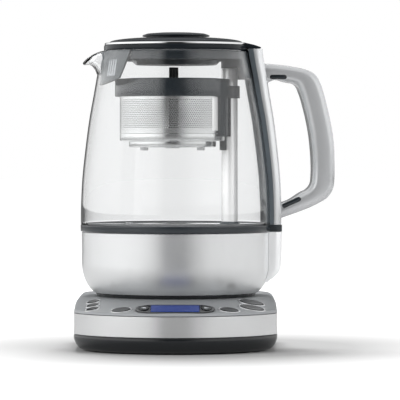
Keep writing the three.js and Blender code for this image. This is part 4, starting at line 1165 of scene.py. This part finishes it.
def add_glass():
    foot = glass_foot_radius
    outer = [glass_ring(foot, glass_foot_bottom), glass_ring(foot, glass_bottom - gap / 2)]
    inner = [glass_ring(foot - glass_wall, glass_foot_bottom)]
    low_rows = [row for row in plain_glass if row[0] < glass_rows[plain_rows - 1][0]]
    for level, radius in low_rows + [glass_rows[plain_rows - 1]]:
        outer.append(glass_ring(radius, level))
        inner.append(glass_ring(radius - glass_wall, level))
    for (level, radius), out, back in zip(glass_rows[plain_rows:-1], spout_outer, spout_inner):
        outer.append(glass_ring(radius, level, out))
        inner.append(glass_ring(radius - glass_wall, level, back))
    edge = glass_top - glass_rim_round
    outer.append(glass_ring(glass_top_radius, edge, spout_outer[-1]))
    outer.append(glass_ring(glass_top_radius - glass_wall / 2, glass_top, spout_rim))
    inner.append(glass_ring(glass_top_radius - glass_wall, edge, spout_inner[-1]))
    form = skin(outer + inner[::-1], True)
    piece("jug_glass", form, kettle_place, "kettle", "clear_glass", "glass", "glass_jug")


def add_floor_of_jug():
    seal_inner = seal_outer - seal_thickness
    seal_top = glass_foot_bottom + seal_height
    seal = [
        (seal_inner, glass_foot_bottom), (seal_outer, glass_foot_bottom),
        (seal_outer, seal_top, light_round), (seal_inner, seal_top, light_round),
    ]
    piece("floor_seal", lathe(seal), kettle_place, "kettle", "rubber", "silicone", "jug_seal")
    rim = plate_radius - plate_rim_width
    rim_top = plate_bottom + plate_rim_height
    plate = [
        (0, plate_bottom), (plate_radius, plate_bottom), (plate_radius, rim_top, small_round),
        (rim, rim_top, small_round), (rim, plate_top, plain_round),
    ]
    for radius in sorted(plate_ridge_radii, reverse=True):
        plate += [
            (radius + plate_ridge_half_width, plate_top),
            (radius, plate_top + plate_ridge_height, soft_round),
            (radius - plate_ridge_half_width, plate_top),
        ]
    plate.append((0, plate_top))
    piece("floor_plate", lathe(plate), kettle_place, "kettle", "polished_steel", "basket", "heating_plate")
    dress("brushed", "heating_element", "temperature_probe", "lift_motor", "lift_nut")
    dress("brass", "lead_screw")


def spine_reach(level):
    share = (level - spine_bottom) / (spine_top - spine_bottom)
    return glass_radius(level) + spine_depth_bottom + (spine_depth_top - spine_depth_bottom) * share


def spine_levels():
    height = spine_top - spine_bottom
    return [spine_bottom + height * step / spine_steps for step in range(spine_steps + 1)]


def add_spine():
    cover = []
    for level in spine_levels():
        edge = glass_radius(level) + spine_glass_gap
        reach = spine_reach(level)
        outside = strip_outside(edge, reach, spine_half_width, spine_corner)
        inside = strip_outside(
            edge, reach - spine_wall, spine_half_width - spine_wall, spine_corner - spine_wall
        )
        cover.append(at_level(outside + inside[::-1], level))
    piece("strip_cover", skin(cover), kettle_place, "kettle", "polished_steel", "strip", "spine_cover")
    dress("core", "spine_core")


def add_bracket():
    back = bowl_radius - bowl_corner_reach
    rows = [
        (bracket_bottom + bracket_curve * height, bowl_radius + bracket_reach * reach)
        for height, reach in bracket_shares
    ]
    rows[-1] = (bowl_top, bowl_radius + bracket_reach)
    rings = [
        at_level(strip_outside(back, reach, spine_half_width, spine_corner), level)
        for level, reach in spline(rows, bracket_curve_steps)
    ]
    bowl = [(0, bowl_profile(0)[0][1])] + bowl_profile(-bracket_bowl_gap)
    bowl += [(bowl_radius + bracket_bowl_gap, bracket_cut_top), (0, bracket_cut_top)]
    piece("bracket", skin(rings), kettle_place, "kettle", "brushed_steel", "satin", "bracket_cover",
          cutters=[(turned(bowl), kettle_place)])


def handle_side(shares):
    """Evenly spaced points along one side of the handle."""
    root = glass_base_radius + spine_depth_bottom - handle_root_inset
    points = [(root + handle_reach * across, handle_bottom + handle_height * up) for across, up in shares]
    fine = [Vector(point) for point in spline(points, handle_curve_steps)]
    travelled = [0]
    for start, end in zip(fine, fine[1:]):
        travelled.append(travelled[-1] + (end - start).length)
    made = []
    for step in range(handle_sections + 1):
        place = travelled[-1] * step / handle_sections
        index = min(sum(1 for far in travelled[1:] if far < place), len(fine) - 2)
        span = travelled[index + 1] - travelled[index]
        made.append(fine[index].lerp(fine[index + 1], (place - travelled[index]) / span))
    return made


def handle_section(outside, inside):
    """A rectangle with rounded corners between two facing points of the handle."""
    thickness = (inside - outside).length
    inward = (inside - outside).normalized()
    turn = min(handle_round, thickness * handle_fillet_share)
    corners = ((1, thickness - turn), (1, turn), (-1, turn), (-1, thickness - turn))
    ring = []
    for quarter, (side, deep) in enumerate(corners):
        for step in range(handle_round_steps + 1):
            angle = math.pi / 2 * (1 - quarter - step / handle_round_steps)
            y = side * (handle_width / 2 - turn) + turn * math.cos(angle)
            point = outside + inward * (deep + turn * math.sin(angle))
            ring.append((point.x, y, point.y))
    return ring


def insert_form(length, standoff, level, tilt, reach, grow):
    prism = stadium(length + 2 * grow, insert_depth + 2 * grow, -reach, reach, cut_edge)
    turn = Matrix.Rotation(-math.radians(tilt), 4, "Y") @ Matrix.Rotation(math.pi / 2, 4, "X")
    return moved(prism, Matrix.Translation((spine_reach(level) + standoff, 0, level)) @ turn)


def add_handle():
    inside = handle_side(handle_inner[::-1])
    rings = [handle_section(point, inside[index]) for index, point in enumerate(handle_side(handle_outer))]
    half_width = spine_half_width + gap
    strip = skin([
        at_level(strip_outside(0, spine_reach(level) + gap / 2, half_width, spine_corner), level)
        for level in [spine_bottom - handle_overrun] + spine_levels() + [spine_top + handle_overrun]
    ])
    cutters = [(strip, kettle_place)]
    for node, place in handle_inserts.items():
        cutters.append((insert_form(*place, handle_width, gap), kettle_place))
        face = insert_form(*place, handle_width / 2 - insert_recess, 0)
        piece(f"{node}_face", face, kettle_place, "kettle", "black_plastic", "slate", node)
    piece("handle", skin(rings), kettle_place, "kettle", "polished_steel", "handle", "handle_shell",
          cutters=cutters)


def add_column():
    bottom = plate_top + gap
    bore = column_radius - column_wall
    pipe = [
        (bore, bottom), (column_radius, bottom), (column_radius, column_top, crisp_round),
        (bore, column_top),
    ]
    piece("column_pipe", lathe(pipe, tube_steps), column_place, "kettle", "polished_steel", "column",
          "column")
    inner = column_radius + gap
    outer = inner + column_foot_width
    top = bottom + column_foot_height
    foot = [
        (inner, bottom), (outer, bottom), (outer, bottom + column_foot_height / 2, plain_round),
        (inner + column_foot_taper, top, crisp_round), (inner, top),
    ]
    piece("column_flange", lathe(foot, tube_steps), column_place, "kettle", "slate_plastic", "grey",
          "column_foot")
    dress("slate", "column_head")


def follow_glass(bottom, top, thickness):
    """A section that lies along the inside of the glass."""
    low, high = glass_inside(bottom) - glass_fit_gap, glass_inside(top) - glass_fit_gap
    return [(low, bottom), (high, top), (high - thickness, top), (low - thickness, bottom)]


def add_rim_collar():
    opening = filter_half_angle + filter_side_gap
    step_low = collar_top_level - collar_lip
    step_high = step_low + collar_groove
    low, high = follow_glass(rim_collar_bottom, collar_top_level, 0)[:2]
    waist_low, waist_high = follow_glass(step_low, step_high, 0)[:2]
    section = [
        low, waist_low, (waist_low[0] - collar_groove, step_low),
        (waist_high[0] - collar_groove, step_high), waist_high, high,
        (rim_collar_inner, collar_top_level), (rim_collar_inner, rim_collar_bottom),
    ]
    ring = arc_wall(opening - half_turn, half_turn - opening, rim_collar_steps, section)
    piece("mouth_collar", ring, kettle_place, "kettle", "slate_plastic", "slate", "rim_collar")


def filter_section(share):
    """The filter's section at a share of its half width, which is less at the bottom than at the top."""
    bottom = filter_middle_bottom + (filter_side_bottom - filter_middle_bottom) * share ** 2
    ring = []
    for radius, level in follow_glass(bottom, collar_top_level, filter_thickness):
        half_angle = filter_half_angle if level > bottom else filter_low_half_angle
        angle = math.radians(half_turn + share * half_angle)
        ring.append((radius * math.cos(angle), radius * math.sin(angle), level))
    return ring


def add_spout_filter():
    panel = skin([filter_section(step / filter_steps - 1) for step in range(2 * filter_steps + 1)])
    cutters = []
    slot_width = (filter_window_width - filter_bar_width * filter_bars) / (filter_bars + 1)
    half = filter_window_height / 2
    slot = slab(filter_slot_reach, slot_width, -half, half)
    for side in (-1, 1):
        angle = math.radians(half_turn + side * filter_window_angle)
        turn = kettle_place @ Matrix.Rotation(angle, 4, "Z")
        for index in range(filter_bars + 1):
            across = -filter_window_width / 2 + slot_width / 2 + index * (slot_width + filter_bar_width)
            shift = Matrix.Translation((glass_top_radius, across, filter_window_middle))
            cutters.append((slot, turn @ shift))
    piece("filter", panel, kettle_place, "kettle", "grey_plastic", "grey", "spout_filter", cutters=cutters)
    reach = math.degrees(filter_window_width / 2 / glass_top_radius)
    low, high = filter_window_middle - half, filter_window_middle + half
    section = [(radius - filter_pane_sink, level) for radius, level in follow_glass(low, high, filter_pane)]
    for side, word in ((-1, "back"), (1, "front")):
        angle = half_turn + side * filter_window_angle
        pane = arc_wall(angle - reach, angle + reach, pane_steps, section)
        piece(f"filter_pane_{word}", pane, kettle_place, "kettle", "basket_steel", "mark")


# Lid


def add_lid():
    ceiling = lid_bottom + lid_hollow
    hollow = lid_skirt_radius + gap
    body = [
        (0, ceiling), (hollow, ceiling), (hollow, lid_bottom), (lid_radius, lid_bottom, small_round),
        (lid_radius, lid_top, soft_round), (0, lid_top),
    ]
    piece("lid_base", lathe(body), kettle_place, "lid", "black_plastic", "lid", "lid_body")
    add_tongue()
    add_trim_ring()
    edge = dome_bottom + dome_edge
    angles = [math.pi / 2 * step / dome_steps for step in range(dome_steps)]
    crown = [(dome_radius * math.cos(angle), edge + dome_rise * math.sin(angle)) for angle in angles]
    dome = [(0, dome_bottom), (dome_radius, dome_bottom)] + crown + [(0, dome_top)]
    piece("dome", turned(dome), kettle_place, "lid", "black_plastic", "lid", "lid_dome")
    shoulder = knob_bottom + knob_edge
    top = shoulder + knob_rise
    knob = [
        (0, knob_bottom), (knob_radius, knob_bottom, crisp_round), (knob_radius, shoulder, plain_round),
        (knob_radius * knob_slope_share, shoulder + knob_rise * knob_slope_rise_share, deep_round),
        (knob_radius * knob_flat_share, top - knob_crown, wide_round), (0, top),
    ]
    piece("knob", lathe(knob), kettle_place, "lid", "black_plastic", "lid", "lid_knob")
    add_lid_underside(ceiling - gap)


def add_tongue():
    bottom = spine_top + gap
    inside = math.sqrt(trim_inner ** 2 - tongue_half_width ** 2)
    bend = trim_inner + (tongue_reach - trim_inner) * tongue_bend_share
    side = rounded([
        (inside, lid_top - tongue_root), (lid_radius - tongue_root, bottom),
        (tongue_reach, bottom, crisp_round), (tongue_reach, bottom + tongue_tip, light_round),
        (bend, bottom + tongue_rise * tongue_bend_rise_share + tongue_tip, tongue_bend_round),
        (inside + tongue_root_reach, bottom + tongue_rise * tongue_root_share + tongue_tip),
    ])
    form = skin([[(x, y, z) for x, z in side] for y in (-tongue_half_width, tongue_half_width)])
    cutter = disc(dome_radius + gap, lid_top, dome_top + overrun, 0, turn_steps)
    piece("lid_tongue", form, kettle_place, "lid", "black_plastic", "lid", cutters=[(cutter, kettle_place)])


def add_trim_ring():
    low = lid_top + gap
    high = low + trim_height
    trim = [(trim_inner, low), (trim_outer, low), (trim_outer, high, full_round), (trim_inner, high)]
    notch = slab(trim_notch_length, 2 * (tongue_half_width + gap), low - overrun, high + overrun)
    middle_of_notch = trim_inner + trim_notch_length / 2 - trim_notch_start
    piece("trim_ring", lathe(trim), kettle_place, "lid", "polished_steel", "chrome", "lid_trim_ring",
          cutters=[(shifted(notch, middle_of_notch), kettle_place)])


def add_lid_underside(top):
    skirt = lid_skirt_radius - lid_skirt_wall
    lens = lid_lens_radius
    foot = lens - lid_lens_chamfer
    chamfer_top = lid_lens_bottom + lid_lens_chamfer
    wall = lid_plate_wall
    profile = [
        (0, lid_lens_bottom), (foot, lid_lens_bottom, broad_round), (lens, chamfer_top, broad_round),
        (lens, lid_plate_level, plain_round), (lid_skirt_radius, lid_plate_level, soft_round),
        (lid_skirt_radius, top), (skirt, top), (skirt, lid_plate_level + wall),
        (lens - wall, lid_plate_level + wall), (lens - wall, chamfer_top + lid_lens_inside),
        (foot - lid_lens_inside, lid_lens_bottom + wall), (0, lid_lens_bottom + wall),
    ]
    piece("lid_underside", lathe(profile), kettle_place, "lid", "slate_plastic", "slate_pale", "lid_plate")
    dress("silicone", "lid_seal")


# Basket


def add_basket_collar():
    bore = column_radius + sleeve_gap
    outside = bore + sleeve_wall
    inner = mesh_radius + gap
    seat = collar_top - collar_step
    rim = collar_radius - collar_wall
    ring = lathe([
        (inner, collar_bottom), (collar_radius, collar_bottom, plain_round),
        (collar_radius, collar_top, firm_round), (rim, collar_top, light_round), (rim, seat), (inner, seat),
    ])
    sleeve = lathe([
        (bore, sleeve_bottom), (outside, sleeve_bottom, small_round), (outside, sleeve_top, small_round),
        (bore, sleeve_top),
    ], tube_steps)
    shield = arc_wall(-shield_half_angle, shield_half_angle, shield_steps, [
        (inner, shield_bottom), (inner + shield_wall, shield_bottom),
        (inner + shield_wall, collar_bottom + gap), (inner, collar_bottom + gap),
    ])
    thing = raw_object("carrier", ring, basket_place)
    blocks = [raw_object("part", form, basket_place) for form in (shifted(sleeve, sleeve_offset), shield)]
    for low, high, left, right in (
        (shield_bottom, sleeve_top, 0, sleeve_offset),
        (shield_tip, shield_bottom + gap, cap_radius, sleeve_offset - bore / 2),
    ):
        rod = shifted(disc(outside, low, high, 0, tube_steps), sleeve_offset)
        trough = raw_object("part", rod, basket_place)
        keep = shifted(slab(right - left, trough_depth, low - 1, high + 1), (left + right) / 2)
        carve(trough, [raw_object("cutter", keep, basket_place)], "INTERSECT")
        blocks.append(trough)
    carve(thing, blocks, "UNION")
    cutter = shifted(disc(bore, shield_tip - overrun, collar_top + overrun, 0, tube_steps), sleeve_offset)
    carve(thing, [raw_object("cutter", cutter, basket_place)])
    show(thing, "basket", "slate_plastic", "slate", "basket_collar")


def column_notch(bottom, top):
    radius = column_radius + sleeve_gap + sleeve_wall + gap
    cutter = disc(radius, bottom - overrun, top + overrun, 0, tube_steps)
    return shifted(cutter, sleeve_offset), basket_place


def perforated_form(bottom, top, sheet_radius):
    """A sheet of six-sided cells round the axis, each with a round hole."""
    start = seam_angle + seam_half_angle
    turn = full_turn - 2 * seam_half_angle
    columns = round(math.radians(turn) * mesh_radius / mesh_pitch)
    pitch = math.radians(turn) * mesh_radius / columns
    row_rise = pitch * math.sqrt(3) / 2
    rows = int((top - bottom) / row_rise)
    low = bottom + (top - bottom - rows * row_rise) / 2 + row_rise / 2
    points, faces = [], []

    def place(along, level):
        angle = math.radians(start) + along / mesh_radius
        return (sheet_radius * math.cos(angle), sheet_radius * math.sin(angle), level)

    for row in range(rows):
        for column in range(columns):
            along = (column + cell_start_share + (row % 2) / 2) * pitch
            level = low + row * row_rise
            first = len(points)
            hole = first + cell_corners
            for radius in (pitch / math.sqrt(3), pitch * hole_share / 2):
                for corner in range(cell_corners):
                    angle = math.tau * (corner + 0.5) / cell_corners
                    points.append(place(along + radius * math.cos(angle), level + radius * math.sin(angle)))
            for corner in range(cell_corners):
                after = (corner + 1) % cell_corners
                faces.append((first + corner, first + after, hole + after, hole + corner))
    return points, faces


def plain_sheet(bottom, top, turn, radius):
    """A sheet without holes that starts at the seam."""
    steps = max(round(turn / sheet_turn_step), 2)
    start = seam_angle - seam_half_angle
    angles = [math.radians(start + turn * step / steps) for step in range(steps + 1)]
    lines = [
        [(radius * math.cos(angle), radius * math.sin(angle), level) for angle in angles]
        for level in (bottom, top)
    ]
    return skin(lines, wrap=False, caps=False)


def add_basket_wall():
    bottom = basket_rim_top + gap
    top = collar_top - collar_step - gap
    low, high = bottom + mesh_margin, collar_bottom - gap
    behind = mesh_radius - 2 * sheet_sink
    sheet = together(
        perforated_form(low, high, mesh_radius),
        plain_sheet(bottom, low + mesh_pitch, full_turn, behind),
        plain_sheet(high - mesh_pitch, top, full_turn, behind),
    )
    piece("basket_sheet", sheet, basket_place, "basket", "basket_steel", "basket", "basket_mesh")
    seam = plain_sheet(low, high, 2 * seam_half_angle, mesh_radius - sheet_sink)
    piece("basket_seam", seam, basket_place, "basket", "basket_steel", "column")
    # The sheet's inner face in a dark finish: painted shade inside the basket, so that the holes read dark.
    inner = mesh_radius - mesh_wall
    inside = together(perforated_form(low, high, inner), plain_sheet(low, high, 2 * seam_half_angle, inner))
    piece("basket_sheet_painted_shade", inside, basket_place, "basket", "basket_steel", "basket_inside_painted_shade")


def add_cap():
    top = basket_rim_bottom - gap
    inner = cap_radius - cap_wall
    floor = cap_bottom + cap_wall
    cap = [
        (0, cap_bottom), (cap_radius, cap_bottom, cap_round), (cap_radius, top, crisp_round),
        (inner, top), (inner, floor), (0, floor),
    ]
    hub = disc(hub_radius, cap_bottom - hub_drop, cap_bottom + hub_root, small_round)
    form = together(lathe(cap), hub)
    piece("floor_cap", form, basket_place, "basket_cap", "basket_steel", "basket", "basket_cap")
    foot = disc(cap_tab_radius, cap_bottom - cap_tab_drop, cap_bottom + cap_tab_root, light_round)
    feet = together(shifted(foot, -cap_tab_offset), shifted(foot, cap_tab_offset))
    piece("cap_feet", feet, basket_place, "basket_cap", "basket_steel", "satin")


def add_basket():
    add_basket_collar()
    add_basket_wall()
    floor_inner = cap_radius - basket_rim_wall
    rim_inner = mesh_radius - basket_rim_wall
    rim_floor = basket_rim_bottom + basket_rim_wall
    rim = [
        (floor_inner, basket_rim_bottom), (mesh_radius, basket_rim_bottom, full_round),
        (mesh_radius, basket_rim_top, crisp_round), (rim_inner, basket_rim_top), (rim_inner, rim_floor),
        (floor_inner, rim_floor),
    ]
    piece("basket_hoop", lathe(rim), basket_place, "basket", "basket_steel", "basket", "basket_rim",
          cutters=[column_notch(basket_rim_bottom, basket_rim_top)])
    add_cap()
    floor = collar_top - collar_step + gap
    top = floor + basket_lid_thickness
    inner = stem_radius + gap + stem_offset
    outer = collar_radius - collar_wall - gap
    lid = [
        (inner, floor), (outer, floor), (outer, top - basket_lid_edge, plain_round),
        (outer * basket_lid_share, top, wide_round), (inner, top),
    ]
    piece("inner_lid", lathe(lid), basket_place, "basket", "slate_plastic", "slate", "basket_lid",
          cutters=[column_notch(floor, collar_top)])
    stem = disc(stem_radius, cap_bottom + cap_wall + gap, stem_top, plain_round)
    piece("stem", shifted(stem, stem_offset), basket_place, "basket", "black_plastic", "button",
          "basket_stem")


# Floor and light


def add_floor():
    mesh = bpy.data.meshes.new("floor")
    corners = [(-1, -1), (1, -1), (1, 1), (-1, 1)]
    mesh.from_pydata([(x * floor_half, y * floor_half, 0) for x, y in corners], [], [(0, 1, 2, 3)])
    floor = bpy.data.objects.new("floor", mesh)
    bpy.context.scene.collection.objects.link(floor)
    finish = Finish("floor", Roughness=0.8, Specular_IOR_Level=0, Emission_Strength=1)
    finish.feed("Base Color", grey(floor_tone))
    # Painted light and shade: the floor glows to rays that are not reflected or scattered, from nothing
    # near the part to full further out, so the floor round the part is darker than the floor beyond.
    place = finish.node("ShaderNodeTexCoord", output="Object")
    away = finish.node("ShaderNodeVectorMath", {"operation": "LENGTH"}, {0: place}, "Value")
    share = finish.node("ShaderNodeMapRange", {"clamp": True}, {
        "Value": away, "From Min": glow_start, "From Max": glow_end,
        "To Min": glow_least, "To Max": glow_most,
    })
    straight = (1 - finish.reflected()) * (1 - finish.scattered())
    finish.feed("Emission Color", share * straight)
    mesh.materials.append(finish.material)


def add_world():
    """White to the camera, a soft even light on the part, and bright and dark sides in reflections."""
    world = bpy.data.worlds.new("studio")
    bpy.context.scene.world = world
    world.use_nodes = True
    nodes = Nodes(world.node_tree)
    world.node_tree.nodes.clear()
    direction = nodes.node("ShaderNodeTexCoord", output="Generated")
    x, y, z = (nodes.node("ShaderNodeSeparateXYZ", None, {0: direction}, axis) for axis in "XYZ")
    across = x * 0.5 + 0.5
    front = nodes.node("ShaderNodeValToRGB", {"stops": front_stops}, {0: across})
    back = nodes.node("ShaderNodeValToRGB", {"stops": back_stops}, {0: across})
    sides = nodes.mix(y * side_blend + 0.5, front, back)
    limits = {"Value": z, "From Min": ceiling_start, "From Max": ceiling_end}
    above = nodes.node("ShaderNodeMapRange", {"clamp": True}, limits)
    glossy = nodes.mix(above, sides, grey(ceiling_level))
    seen = nodes.mix(nodes.reflected(), grey(1), glossy)
    colour = nodes.mix(nodes.scattered(), seen, grey(room_light))
    background = nodes.node("ShaderNodeBackground", None, {"Color": colour, "Strength": 1})
    output = world.node_tree.nodes.new("ShaderNodeOutputWorld")
    nodes.join(background, output.inputs["Surface"])


def add_lamp(name, place, size, power):
    data = bpy.data.lights.new(name, "AREA")
    data.shape = "RECTANGLE"
    data.size, data.size_y = size
    data.energy = power
    lamp = bpy.data.objects.new(name, data)
    lamp.location = place
    lamp.rotation_euler = (Vector(lamp_aim) - Vector(place)).to_track_quat("-Z", "Y").to_euler()
    lamp.visible_glossy = False
    lamp.visible_transmission = False
    bpy.context.scene.collection.objects.link(lamp)


def add_light():
    add_world()
    for name, (place, size, power) in lamps.items():
        add_lamp(name, place, size, power)


bpy.context.scene.view_settings.view_transform = "Standard"
add_floor()
add_light()
add_pan()
add_band()
add_deck()
add_screen()
add_panel()
add_connector()
dress("rubber", "cord_gland", "rubber_foot_1", "rubber_foot_2", "rubber_foot_3", "rubber_foot_4")
dress("board", "control_board", "power_board")
add_bowl()
add_jug_band()
add_glass()
add_floor_of_jug()
add_spine()
add_bracket()
add_handle()
add_column()
add_rim_collar()
add_spout_filter()
add_lid()
add_basket()
